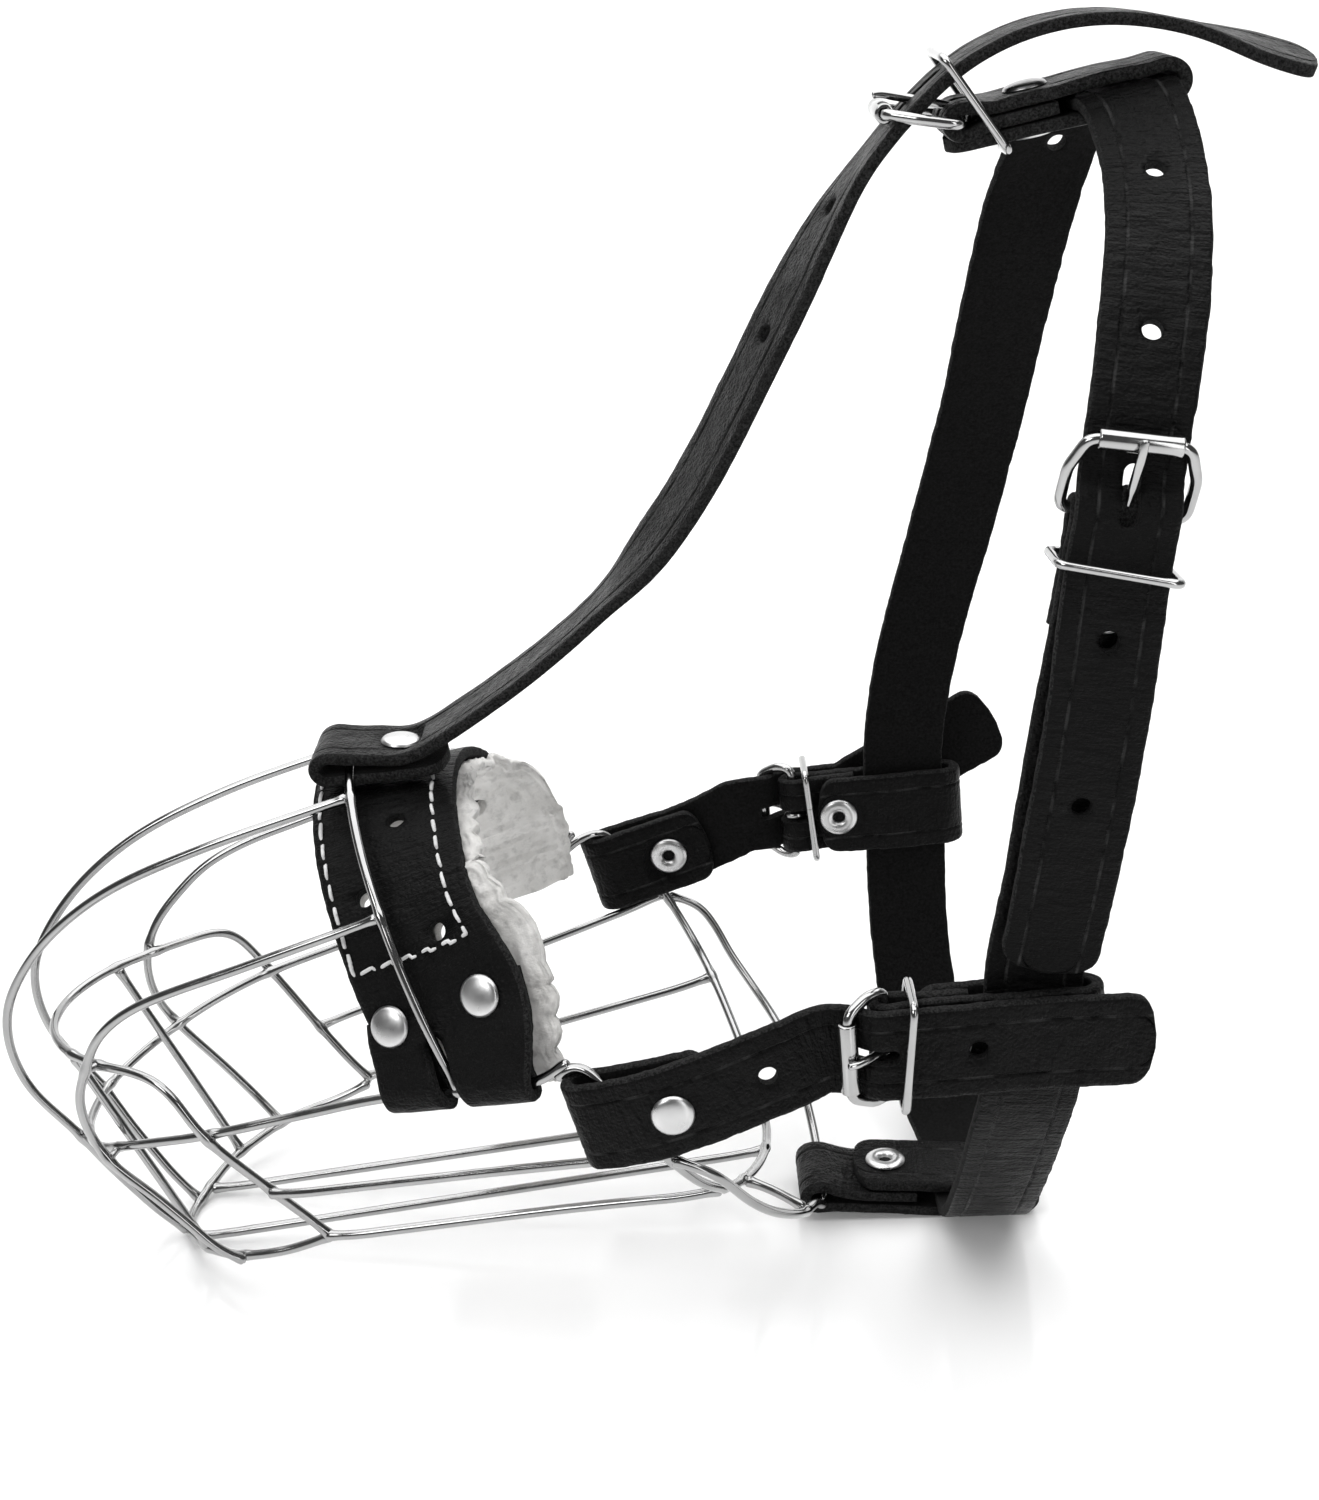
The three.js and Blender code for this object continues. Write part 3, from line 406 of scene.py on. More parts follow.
def leather_edge():
    """The raw cut edge, a little lighter, with its fibres showing."""
    m = Nodes("leather_edge")
    fibres = m.noise(1900, 7, 0.75)
    m.colour(m.ramp(fibres, 0.003, 0.05, 0.42, 0.72))
    m.uniform(Roughness=0.9, Specular_IOR_Level=0.15)
    m.bumps((fibres, 1.0, 0.3), (m.noise(260, 4), 0.5, 0.3))
    return m.material


def felt_wool():
    m = Nodes("felt_wool")
    fibres = m.noise(900, 7, 0.7, m.mapped((1, 2.2, 1.4)))
    clumps = m.noise(130, 4, 0.6)
    tone = m.node("ShaderNodeMix", data_type="RGBA", blend_type="MULTIPLY")
    tone.inputs["Factor"].default_value = 1.0
    m.link(m.ramp(clumps, (0.68, 0.67, 0.65), (0.90, 0.89, 0.87), 0.3, 0.7), tone.inputs["A"])
    m.link(m.ramp(m.noise(420, 3), 0.72, 1.0, 0.28, 0.5), tone.inputs["B"])
    m.colour(tone.outputs["Result"])
    m.uniform(Roughness=1.0, Specular_IOR_Level=0.1, Sheen_Weight=0.3, Sheen_Roughness=0.6)
    m.bumps((clumps, 0.6, 0.7), (fibres, 0.9, 0.35))
    return m.material


def plated(name, tone, low, high, scratch=0.25):
    """Polished plate over drawn or rolled metal, with light wear."""
    m = Nodes(name)
    wear = m.noise(240, 5, 0.6)
    m.colour(m.ramp(m.noise(120, 3), tone * 0.9, tone, 0.3, 0.6))
    m.uniform(Metallic=1.0)
    m.gloss(m.span(wear, low, high, 0.35, 0.75))
    m.bumps((m.noise(1800, 3, vector=m.mapped((1, 1, 3))), scratch, 0.015), (wear, 0.25, 0.05))
    return m.material


def thread():
    m = Nodes("white_thread")
    m.colour(m.ramp(m.noise(500, 3), 0.62, 0.86, 0.3, 0.7))
    m.uniform(Roughness=0.85, Sheen_Weight=0.2)
    m.bumps((m.noise(2400, 3), 0.6, 0.12))
    return m.material


GRAIN = leather_grain()
FLESH = leather_flesh()
EDGE = leather_edge()
WOOL = felt_wool()
CHROME = plated("chrome_wire", 0.40, 0.08, 0.20)
NICKEL = plated("nickel_buckle", 0.46, 0.09, 0.22)
RIVET = plated("nickel_rivet", 0.66, 0.26, 0.42, 0.4)
THREAD = thread()
LEATHERS = [GRAIN, FLESH, EDGE]
ON_GRAIN, ON_FLESH, ON_EDGE = 0, 1, 2


# ------------ wire basket
ARCH_CENTRE = 58.0
ARCH_HALF = 53.0
ARCH_RISE = 61.0
ARCH_LEAN = 0.43
ARCH_FRONT = 50.5
ARCH_TURN = 84.3  # degrees from the arch's top to each end


def flip(points):
    return [(x, -y, z) for x, y, z in points]


def both_sides(half):
    left = flip(half)[::-1]
    return left + (half[1:] if half[0][1] == 0 else half)


def arch_point(angle):
    z = ARCH_CENTRE + ARCH_RISE * math.cos(angle)
    lean = ARCH_LEAN * (ARCH_CENTRE + ARCH_RISE - z)
    return (ARCH_FRONT + lean, ARCH_HALF * math.sin(angle), z)


RAIL = [
    (-18.2, 0, 31.6), (-16.8, 11.5, 32), (-12.2, 21, 33.8), (-5.6, 27.2, 37), (3.6, 33, 41.2),
    (16.8, 38.7, 45.9), (39.2, 42.8, 52.6), (58, 47, 58.5), (75.5, 53.1, 63), (93, 59.2, 67.5),
]
INNER_BAR = [
    (50.6, 17.6, 115.4), (18, 17.5, 104.6), (-3, 16, 95.2), (-16, 14.5, 85.8), (-24.5, 13, 76.5),
    (-30.6, 12, 66), (-32, 12, 57.6), (-30.8, 12, 49.6), (-28, 12, 43), (-19.6, 11.5, 31.8),
    (-12.8, 10, 20.6), (-0.4, 7.2, 2.6),
]
WIRES = {
    "nose_arch": [arch_point(math.radians(ARCH_TURN * k / 6)) for k in range(-6, 7)],
    "nose_bar_inner_right": INNER_BAR,
    "nose_bar_inner_left": flip(INNER_BAR),
    "nose_bar_outer_left": [
        (57.4, -39.6, 96.4), (30.8, -38, 86.5), (2.9, -34.6, 74.8), (-5.6, -32.8, 67),
        (-9.8, -31.2, 58), (-11.8, -30.6, 52.4), (-11.8, -30, 45.7), (-9.6, -30, 39.2),
        (-6.6, -30.4, 34.4), (3, -31.6, 25.6), (12.4, -32.4, 15.6), (18.6, -32.8, 8.4),
    ],
    "nose_bar_outer_right": [
        (57.4, 39.6, 96.4), (29.9, 39, 87.2), (15, 37.4, 82.1), (6.2, 35.8, 77.6), (-0.6, 34, 71.6),
        (-6.2, 32, 65), (-9.2, 31, 58), (-9.8, 30.6, 51), (-8.4, 31, 44), (-4.6, 32.4, 36.4),
        (6.4, 33.2, 22.6), (17.2, 32.8, 9.2),
    ],
    "mid_ring": both_sides([
        (-23.6, 0, 57), (-22.6, 8, 57.1), (-18.6, 16.8, 57.5), (-13.6, 23, 57.9),
        (-6.8, 28.4, 58.4), (0.7, 33, 59.1), (6.6, 37, 58.9), (10.6, 39.4, 56.6),
        (17, 41.2, 47.4), (31.3, 37.4, 29.2), (41.4, 34.6, 17.2),
    ]),
    "chin_bar_right": CHIN_BAR,
    "chin_bar_left": flip(CHIN_BAR),
    "side_rail": flip(RAIL + [(96.4, 60.2, 68.2)])[::-1] + RAIL[1:],
    "bottom_ring": both_sides([
        (1.2, 0, WIRE), (2.2, 6, 1.3), (4.6, 12, 3), (8, 18.5, 5), (13.4, 24.6, 6.8),
        (20.4, 30, 9.2), (28, 32.4, 11.4), (39.4, 33.4, 14.6),
    ]),
    "floor_bar_inner_right": [(5.8, 10.4, 1.7), (138.4, 9.6, 19.4)],
    "floor_bar_outer_right": [(41.4, 36.9, 17.6), (98.1, 45, 28.7), (126.6, 50, 34)],
    "lower_rail_right": [(30.6, 40.2, 31), (82.2, 53.2, 43.5), (114.8, 62.6, 51.7)],
    "rear_hoop": both_sides([
        (140.8, 0, 19.8), (140, 10, 20.6), (138.2, 20, 23), (134.5, 35, 28.4), (129.1, 51, 36.2),
        (123, 60.5, 45), (116.6, 64.8, 54.6), (109.6, 64.6, 64), (104.2, 62.4, 70),
        (99.4, 60, 73.2), (95.4, 58.2, 74.2),
    ]),
    "throat_hoop": both_sides([
        (153.6, 0, 6.2), (153.5, 10, 6.5), (152.8, 17.5, 9.8), (150.4, 29, 17.4), (146.2, 43, 24),
        (140, 52.6, 30.9), (134.6, 58.2, 37.6), (130.4, 62.6, 44.4), (126.4, 65, 49),
        (121.6, 66.6, 52.2),
    ]),
    "throat_strut": [(136.2, -37, 28.4), (140, -37.4, 27), (146, -38, 24)],
}
for side_bar in ("floor_bar_inner", "floor_bar_outer", "lower_rail"):
    WIRES[side_bar + "_left"] = flip(WIRES[side_bar + "_right"])

DRAWN = 1.07  # the drawn wire's radius against the CAD's
WAVER = 0.012  # how much its radius varies
WIRE_STEP = 0.7
WELD_REACH = 4.2  # wires nearer than this to each other are welded
WELD_SWELL = 0.26  # how much a weld swells the wire
WELD_LENGTH = 1.7
WELD_APART = 12  # steps along a wire between two of its welds, at least
WELD_SINK = 1.25  # radii from one welded wire's middle to the other's end
END_STEPS = 14  # steps that a wire's end is bent over to reach its neighbour


def basket():
    """Every wire, drawn out to the one that it ends on, swollen and bridged at the welds."""
    lines = {name: ease(evenly(WIRE_STEP, spline(points))[1][0], 6) for name, points in WIRES.items()}
    lines = {name: reach_out(name, line, lines) for name, line in lines.items()}
    welds = {name: [] for name in lines}
    bridges = {name: [] for name in lines}
    names = sorted(lines)
    for i, a in enumerate(names):
        for b in names[i + 1:]:
            for p, q in meetings(lines[a], lines[b]):
                welds[a].append(p)
                welds[b].append(q)
                bridges[a].append((p, q))
    for name, line in lines.items():
        swell = np.zeros(len(line))
        for p in welds[name]:
            far = np.linalg.norm(line - p, axis=1)
            swell = np.maximum(swell, np.exp(-(far / WELD_LENGTH) ** 2))
        radius = WIRE * (DRAWN + WELD_SWELL * swell + WAVER * rough(len(line), 12, 1.0))
        parts = [tube_mesh(line, radius)]
        for p, q in bridges[name]:
            parts.append(bridge(p, q))
        settle(joined(name + "_wire", parts, [CHROME]), "muzzle", "basket_wire", name)


def reach_out(name, line, lines):
    """Moves each end of a wire up to the wire beside it."""
    line = line.copy()
    for end, order in ((0, 1), (-1, -1)):
        tip = line[end].copy()
        near = min((other[np.argmin(np.linalg.norm(other - tip, axis=1))]
                    for key, other in lines.items() if key != name),
                   key=lambda p: np.linalg.norm(p - tip))
        gap = np.linalg.norm(near - tip)
        if gap > 2 * WELD_REACH:
            continue
        target = near + (tip - near) * (WELD_SINK * WIRE / max(gap, 1e-6))
        stretch = np.clip(1 - np.arange(len(line)) / END_STEPS, 0, 1)[::order]
        line += stretch[:, None] ** 2 * (target - tip)
    return line


def meetings(a, b):
    """Places where two wires pass close to each other."""
    far = np.linalg.norm(a[:, None] - b[None], axis=2)
    found = []
    while True:
        i, j = np.unravel_index(np.argmin(far), far.shape)
        if far[i, j] > WELD_REACH:
            return found
        found.append((a[i].copy(), b[j].copy()))
        far[max(0, i - WELD_APART):i + WELD_APART + 1] = math.inf
        far[:, max(0, j - WELD_APART):j + WELD_APART + 1] = math.inf


def bridge(p, q):
    """The weld metal between two wires, waisted in the middle."""
    way = q - p
    if np.linalg.norm(way) < 1e-3:
        way = np.array((0, 0, 0.3))
        q = p + way
    line = p + np.linspace(-0.05, 1.05, 9)[:, None] * way
    waist = 0.86 + 0.3 * (2 * np.linspace(0, 1, 9) - 1) ** 2
    return tube_mesh(line, WIRE * waist, 12)


# ------------ leather strips
BEND_GENTLE = 0.03  # bends up to here, in radians a millimetre, are eased the most
BEND_TIGHT = 0.09  # and from here the least


class Strip:
    """A band's middle line, with the way along, across and out of its grain side."""

    def __init__(self, route, grain, step=0.8, easing=4):
        centre = spline([p for p, _ in route])
        across = spline([w for _, w in route])
        self.s, (self.p, across) = evenly(step, centre, across)
        gentle = ease(self.p, 5 * easing)
        close = ease(self.p, easing)
        bend = np.linalg.norm(np.gradient(tangents(self.p), axis=0), axis=1) / step
        tight = np.clip((bend - BEND_GENTLE) / (BEND_TIGHT - BEND_GENTLE), 0, 1)
        tight = ease(np.repeat(tight[:, None], 3, 1), 3 * easing)
        tight = np.clip(tight * 1.6, 0, 1)
        self.p = gentle * (1 - tight) + close * tight
        self.t = tangents(self.p)
        across = ease(across, 3 * easing)
        across -= self.t * (across * self.t).sum(1, keepdims=True)
        self.w = unit(across)
        self.n = np.cross(self.t, self.w) * grain
        self.length = self.s[-1]

    def nearest(self, target):
        return int(np.argmin(np.linalg.norm(self.p - np.asarray(target, float), axis=1)))

    def at(self, i, across=0.0, out=0.0):
        return self.p[i] + self.w[i] * across + self.n[i] * out

    def skin(self, across, out):
        """Points on the band, from rows of distances across it and out of it."""
        aside = self.w[:, None] * across[:, :, None]
        return self.p[:, None] + aside + self.n[:, None] * out[:, :, None]


CREASE_DEPTH = 0.34
CREASE_EDGES = (-0.55, 0.04), (-0.26, -0.06), (0, -CREASE_DEPTH), (0.26, -0.06), (0.55, 0.04)
EDGE_ROUGH = 0.05
EDGE_WANDER = 0.08
GRAIN_WAVE = 0.035
DENT = 0.45  # how deep the leather sinks at a punched hole
DENT_REACH = 0.9
TIP_POWER = 2.6  # of the superellipse that a strap's tip follows


def strap_profile(creased):
    """Half width shares, heights and kinds of surface, round the section."""
    t = LEATHER / 2
    grain = [(-9.5, 1.16), (-9.0, t - 0.03), (-8.2, t), (-7.2, t)]
    if creased:
        grain += [(v - CREASE, t + n) for v, n in CREASE_EDGES]
    grain += [(-4.4, t), (-3.0, t), (-1.5, t), (0, t)]
    flesh = [(9.55, -1.26), (8.6, -t), (6, -t), (3, -t), (0, -t)]
    top = [(-9.98, 0.35, ON_EDGE), (-9.86, 0.86, ON_EDGE)] + [(v, n, ON_GRAIN) for v, n in grain]
    under = [(9.9, -0.35, ON_EDGE), (9.84, -0.98, ON_EDGE)] + [(v, n, ON_FLESH) for v, n in flesh]
    return np.array([place for half in (top, under)
                     for place in half + [(-v, n, k) for v, n, k in half[-2::-1]]])


def ribbon(name, strip, half, creased=True, dents=(), tips=(), rivets=()):
    """The leather itself. half is the half width along it, dents sink round the holes."""
    profile = strap_profile(creased)
    rows = len(strip.s)
    share = profile[:, 0] / (STRAP / 2)
    half = np.broadcast_to(np.asarray(half, float), (rows,)).copy()
    distances = {"start": strip.s, "end": strip.length - strip.s}
    for tip in tips:
        inside = np.clip(distances[tip] / TIP, 0.004, 1)
        half *= (1 - (1 - inside) ** TIP_POWER) ** (1 / TIP_POWER)
    left = half + rough(rows, 1, EDGE_ROUGH) + rough(rows, 22, EDGE_WANDER)
    right = half + rough(rows, 1, EDGE_ROUGH) + rough(rows, 22, EDGE_WANDER)
    across = np.where(share[None] < 0, share[None] * left[:, None], share[None] * right[:, None])
    out = np.repeat(profile[None, :, 1], rows, 0)
    edge = profile[:, 2] == ON_EDGE
    out[:, edge] += rng.normal(size=(rows, edge.sum())) * EDGE_ROUGH
    grain = profile[:, 2] == ON_GRAIN
    out[:, grain] += np.stack([rough(rows, 5, GRAIN_WAVE) for _ in range(grain.sum())], axis=1)
    for i, v in dents:
        far = np.hypot(strip.s[:, None] - strip.s[i], across - v)
        beyond = np.maximum(far[:, grain] - HOLE_RADIUS, 0)
        out[:, grain] -= DENT * np.exp(-(beyond / DENT_REACH) ** 2)
    points = pressed(strip.skin(across, out), rivets)
    cols = len(profile)
    between = np.maximum(profile[:, 2], np.roll(profile[:, 2], -1)).astype(int)
    kinds = between.tolist() * (rows - 1) + [ON_EDGE, ON_EDGE]
    aside = 0.0 if creased else PLAIN_UV
    uvs = np.stack([across.ravel() * MM + aside, np.repeat(strip.s, cols) * MM], axis=1)
    return make(name, points.reshape(-1, 3), closed_faces(rows, cols), LEATHERS, kinds, uvs)


PUNCH_SIDES = 28


def round_cutter(origin, axis, radius=HOLE_RADIUS, depth=10.0, long=None, way=None):
    """A punch: round, or oblong when long and a way along are given."""
    axis = unit(np.array(axis, float))
    if way is None:
        u = unit(np.cross(axis, (0, 0, 1) if abs(axis[2]) < 0.8 else (1, 0, 0)))
        stretch = 0.0
    else:
        u = unit(np.array(way, float) - axis * np.dot(way, axis))
        stretch = long / 2 - radius
    w = np.cross(axis, u)
    turn = (np.arange(PUNCH_SIDES) + 0.5) * 360 / PUNCH_SIDES
    ring = np.array([u * (x + math.copysign(stretch, x)) + w * y for x, y in circle(radius, turn)])
    ends = [origin + ring - axis * depth / 2, origin + ring + axis * depth / 2]
    return np.vstack(ends), closed_faces(2, PUNCH_SIDES)


def punch(obj, cutters):
    """Cuts all the holes of one strap at once."""
    if not cutters:
        return
    tool = joined("punch", cutters, LEATHERS, smooth=False)
    for polygon in tool.data.polygons:
        polygon.material_index = ON_EDGE
    cut = obj.modifiers.new("punch", "BOOLEAN")
    cut.operation = "DIFFERENCE"
    cut.solver = "MANIFOLD"
    cut.object = tool
    bpy.context.view_layer.objects.active = obj
    bpy.ops.object.modifier_apply(modifier=cut.name)
    bpy.data.objects.remove(tool)


# ------------ rivets
PRESS_NEAR = 5.0  # leather lies flat under a cap to here
PRESS_FAR = 7.5  # and is level again from here
PRESS_REACH = 2.2  # leather further out than this over a cap passes over it
CAP_RIM = 0.32  # height of a cap's edge, below its dome


def pressed(points, rivets):
    """Leather pushed flat between the caps and rings of its rivets."""
    for origin, way, layers, spread in rivets:
        axis = unit(np.array(way, float))
        level = (layers * LAYER - GAP + spread) / 2 + 0.02
        away = points - np.array(origin, float)
        height = away @ axis
        radius = np.linalg.norm(away - height[..., None] * axis, axis=-1)
        soft = 1 - smoothstep(radius, PRESS_NEAR, PRESS_FAR)
        over = np.clip(np.abs(height) - level, 0, None)
        over[over > PRESS_REACH] = 0
        points = points - (np.sign(height) * over * soft)[..., None] * axis
    return points


def rivet(name, origin, outward_way, layers=2, spread=0.0, cap=CAP_HEIGHT):
    """A domed cap on one side of the stack and a holed ring on the other."""
    top = (layers * LAYER - GAP + spread) / 2 + 0.12
    low = -top
    dome = [(0, top + cap)]
    for down, out in circle(1, 90 * np.arange(1, 9) / 8):
        dome.append(((CAP_RADIUS - 0.15) * out, top + CAP_RIM + (cap - CAP_RIM) * down))
    dome += [(CAP_RADIUS, top + CAP_RIM * 0.6), (CAP_RADIUS, top + 0.05),
             (CAP_RADIUS - 0.3, top - 0.25), (1.7, top - 0.25), (1.7, low + 0.3)]
    ring = [(4.4, low + 0.25), (4.75, low - 0.02), (4.7, low - 0.28), (4.4, low - 0.6),
            (3.8, low - RING_HEIGHT), (3.0, low - RING_HEIGHT - 0.12), (2.3, low - RING_HEIGHT),
            (1.75, low - 0.62), (1.45, low - 0.1), (1.3, low + 0.9), (0, low + 1.1)]
    shape = lathe_mesh(dome + ring, origin, outward_way)
    settle(joined(name + "_pressed", [shape], [RIVET]), "muzzle", "rivet_metal", name)


# ------------ noseband
BAND_HALF = 50.6
BAND_RISE = 55.2
BAND_TOP = ARCH_CENTRE + BAND_RISE
BAND_FRONT = 57.5
BAND_LEAN = 0.375
TAB_RAIL = np.array(RAIL[-3:], float)
TAB_LAYERS = [
    (2, FOLD, 2 * FOLD), (6, 0.7, 4.6), (10, -2, 3.4), (14, -4.3, 3.1), (18, -6.4, 3.1),
    (22, -8.3, 3.1),
]
TAB_RIVETS = {"front": (14, -13.3), "rear": (18, 8.8)}
TAB_INSET = 1.6  # how much narrower each edge of the inner layer is
TAB_FLAP = 26.0  # length of the inner layer
BAND_HOLES = [(21, 2.5), (39, -7), (53, 6)]
TO_LEFT = np.array((1, -1, 1))
SLOT_LEAN = 0.27  # of the slots between the tabs
SLOT_LONG = 19
RIVET_LEAN = 0.46  # the tabs' rivets look up as well as out

rail_way = unit(TAB_RAIL[2] - TAB_RAIL[0])
rail_out = unit(np.array((0, 1, 0)) - rail_way * rail_way[1])
rail_up = np.cross(rail_way, rail_out)
rail_middle = (TAB_RAIL[0] + TAB_RAIL[2]) / 2


def band_point(degrees, inset=0.0):
    angle = math.radians(degrees)
    z = ARCH_CENTRE + (BAND_RISE - inset) * math.cos(angle)
    x = BAND_FRONT + BAND_LEAN * (BAND_TOP - z)
    return np.array((x, (BAND_HALF - inset) * math.sin(angle), z))


def band_across(degrees):
    side = math.sin(math.radians(degrees))
    return np.array((0.96, 0.31 * side, 0.05 + 0.17 * abs(side)))


def tab_point(out, up, way=0.0):
    return rail_middle + rail_out * out + rail_up * up + rail_way * way


def mirrored(half):
    left = [(p * TO_LEFT, w * TO_LEFT) for p, w in half[1:]]
    return left[::-1] + half


def band_half(strip):
    """Half the band's width: narrow over the nose, widest at the rivets."""
    drop = BAND_TOP - strip.p[:, 2]
    wider = (TAB_WIDTH - NOSEBAND_WIDTH) * smoothstep(drop, 15, 38)
    narrower = (TAB_WIDTH - FOLD_WIDTH) * smoothstep(drop, 36, 52)
    return (NOSEBAND_WIDTH + wider - narrower) / 2


def folded_half(strip):
    """The same for the leather, whose ends are cut narrower behind the tabs."""
    from_end = np.minimum(strip.s, strip.length - strip.s)
    return band_half(strip) - TAB_INSET * np.clip((TAB_FLAP - from_end) / 4, 0, 1)


def nose_route():
    half = [(band_point(a), band_across(a)) for a in (0, 15, 30, 42, 53)]
    half += [(tab_point(out, up), rail_way) for up, out, _ in TAB_LAYERS[4::-1]]
    half += [(tab_point(out, -down), rail_way) for out, down in circle(FOLD, (0, 45, 90, 135, 180))]
    half += [(tab_point(out - gap, up), rail_way) for up, out, gap in TAB_LAYERS]
    return mirrored(half)


def felt_route():
    inset = (LEATHER + FELT) / 2 + GAP
    half = [(band_point(a, inset), band_across(a)) for a in (0, 15, 30, 42)]
    half += [(tab_point(out - gap - inset - 0.3, up), rail_way) for up, out, gap in TAB_LAYERS[::-1]]
    half.append((tab_point(-FOLD - inset - 0.3, -3), rail_way))
    shift = np.array((FELT_EDGE, 0, 0.3))
    return mirrored([(p + shift, w) for p, w in half])


def tab_slots():
    """The slots between the tabs, leaning with the arch that comes down in them."""
    slot_up = unit(rail_up - SLOT_LEAN * rail_way)
    origin = tab_point(-2, 3.5, -1.9)
    return [round_cutter(origin * side, rail_out * side, TAB_SLOT / 2, 26, SLOT_LONG, slot_up * side)
            for side in (np.ones(3), TO_LEFT)]


def noseband():
    strip = Strip(nose_route(), -1)
    half = folded_half(strip)
    cutters = tab_slots()
    felt_holes = []
    dents = []
    for side in (-1, 1):
        for degrees, across in BAND_HOLES:
            i = strip.nearest(band_point(degrees * side))
            dents.append((i, across))
            cutters.append(round_cutter(strip.at(i, across), strip.n[i], HOLE_RADIUS, HOLE_DEEP))
            felt_holes.append(round_cutter(strip.at(i, across), strip.n[i], FELT_HOLE, FELT_DEEP))
    rivets = {}
    for end, (up, way) in TAB_RIVETS.items():
        middle = tab_point(-7.4 - (up - 17) * 0.5, up, way)
        face = rail_out + RIVET_LEAN * rail_up
        rivets[f"noseband_rivet_{end}_right"] = (middle, face, 2, 0.6)
        rivets[f"noseband_rivet_{end}_left"] = (middle * TO_LEFT, face * TO_LEFT, 2, 0.6)
    band = ribbon("noseband_leather", strip, half, False, dents, rivets=rivets.values())
    punch(band, cutters)
    settle(band, "muzzle", "strap_leather", "noseband")
    stitching(strip, half)
    lining(felt_holes)
    for name, place in rivets.items():
        rivet(name, *place)


STITCH = 3.7
STITCH_STEP = 4.9
STITCH_PROUD = 0.3  # a stitch's middle line, out from the leather
STITCH_SINK = 0.75  # how far its ends go down from there
THREAD_RADIUS = 0.42
SEAM_FRONT = 2.1  # from the front edge
SEAM_REAR = 5.2  # from the rear edge
SEAM_ENDS = (53, 58)  # degrees down from the top where the front and rear rows end


def stitching(strip, half):
    """One closed seam: along the front, across above the rivets, back along the rear."""
    rows = []
    for angle in SEAM_ENDS:
        ends = [strip.nearest(band_point(side * angle)) for side in (-1, 1)]
        rows.append(np.arange(min(ends), max(ends) + 1))
    front = strip.s[rows[0]], SEAM_FRONT - half[rows[0]]
    rear = strip.s[rows[1]][::-1], half[rows[1]][::-1] - SEAM_REAR
    seam = np.array([np.concatenate([a, b]) for a, b in zip(front, rear)]).T
    seam = np.vstack([seam, seam[:1]])
    length = lengths(seam)
    count = int(length[-1] / STITCH_STEP)
    pitch = length[-1] / count
    parts = []
    for k in range(count):
        reach = k * pitch + np.linspace(0, STITCH * pitch / STITCH_STEP, 9)
        share = np.linspace(-1, 1, 9)
        s, v = (np.interp(reach, length, column) for column in seam.T)
        v += share * rng.normal(0.12, 0.09)
        i = np.clip(np.searchsorted(strip.s, s), 0, len(strip.s) - 1)
        out = LEATHER / 2 + STITCH_PROUD - STITCH_SINK * share ** 6
        radius = THREAD_RADIUS * (1 - 0.35 * share ** 4) * rng.uniform(0.9, 1.1)
        parts.append(tube_mesh(strip.at(i, v[:, None], out[:, None]), radius, 8))
    seam_object = joined("noseband_stitching", parts, [THREAD])
    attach(seam_object, "muzzle")


FELT_COLUMNS = 88  # points round the felt's section
LOBE = 6.2  # length of one soft lobe of its rear edge
FELT_SHY = 0.8  # how far inside its width its edges start


def rounded(share, power):
    """A sine's or cosine's value pushed out towards a box."""
    return np.sign(share) * np.abs(share) ** power


def lining(holes):
    """Felt under the noseband, its rear edge in soft lobes beyond the leather."""
    strip = Strip(felt_route(), -1)
    half = band_half(strip) - FELT_SHY
    rows = len(strip.s)
    around = np.arange(FELT_COLUMNS) / FELT_COLUMNS * 2 * math.pi
    flat = rounded(np.cos(around), 0.55)
    thick = rounded(np.sin(around), 0.5)
    phase = strip.s / LOBE + np.cumsum(rough(rows, 12, 0.05))
    lobes = np.abs(np.sin(phase * math.pi)) ** 0.7
    near = np.clip(0.5 - strip.p[:, 1] / 30, 0, 1)
    right = half + 1.3 * near + (0.5 + 0.9 * near) * lobes + rough(rows, 2, 0.2)
    left = half + FELT_EDGE + rough(rows, 3, 0.2)
    across = flat * np.where(flat > 0, right[:, None], left[:, None])
    puff = np.array([rough(FELT_COLUMNS, 2, 1.0) for _ in range(rows)])
    along = np.array([rough(rows, 3, 1.0) for _ in range(FELT_COLUMNS)]).T
    out = thick * FELT / 2 + 0.16 * puff + 0.2 * along
    points = strip.skin(across, out).reshape(-1, 3)
    felt = make("felt_pad", points, closed_faces(rows, FELT_COLUMNS), [WOOL])
    punch(felt, holes)
    settle(felt, "muzzle", "lining_felt", "felt_lining")


# ------------ buckles
HEEL_FOLD = BUCKLE_WIRE + GAP + LEATHER / 2
BILLET_OVER = HEEL_FOLD + LAYER + 0.1
BILLET_OUT = LAYER / 2 + LAYER + 1
SLIT = 2 * TONGUE_RADIUS + 1.6
SLOT_DEEP = 9  # through the leather with room on both sides
TONGUE_TURN = BUCKLE_WIRE + GAP + TONGUE_RADIUS
ROLLER_SEAM = 9  # degrees from the seam's middle to the sheet's edge
ROLLER_TURN = 200  # where on the roller the seam is
SHEET_SPLIT = math.radians(50)


def loop(start, half, middle, end):
    """A bent wire's outline, with its two ends together on the first side."""
    return [start] + half + middle + [(a, -b) for a, b in half[::-1]] + [end]


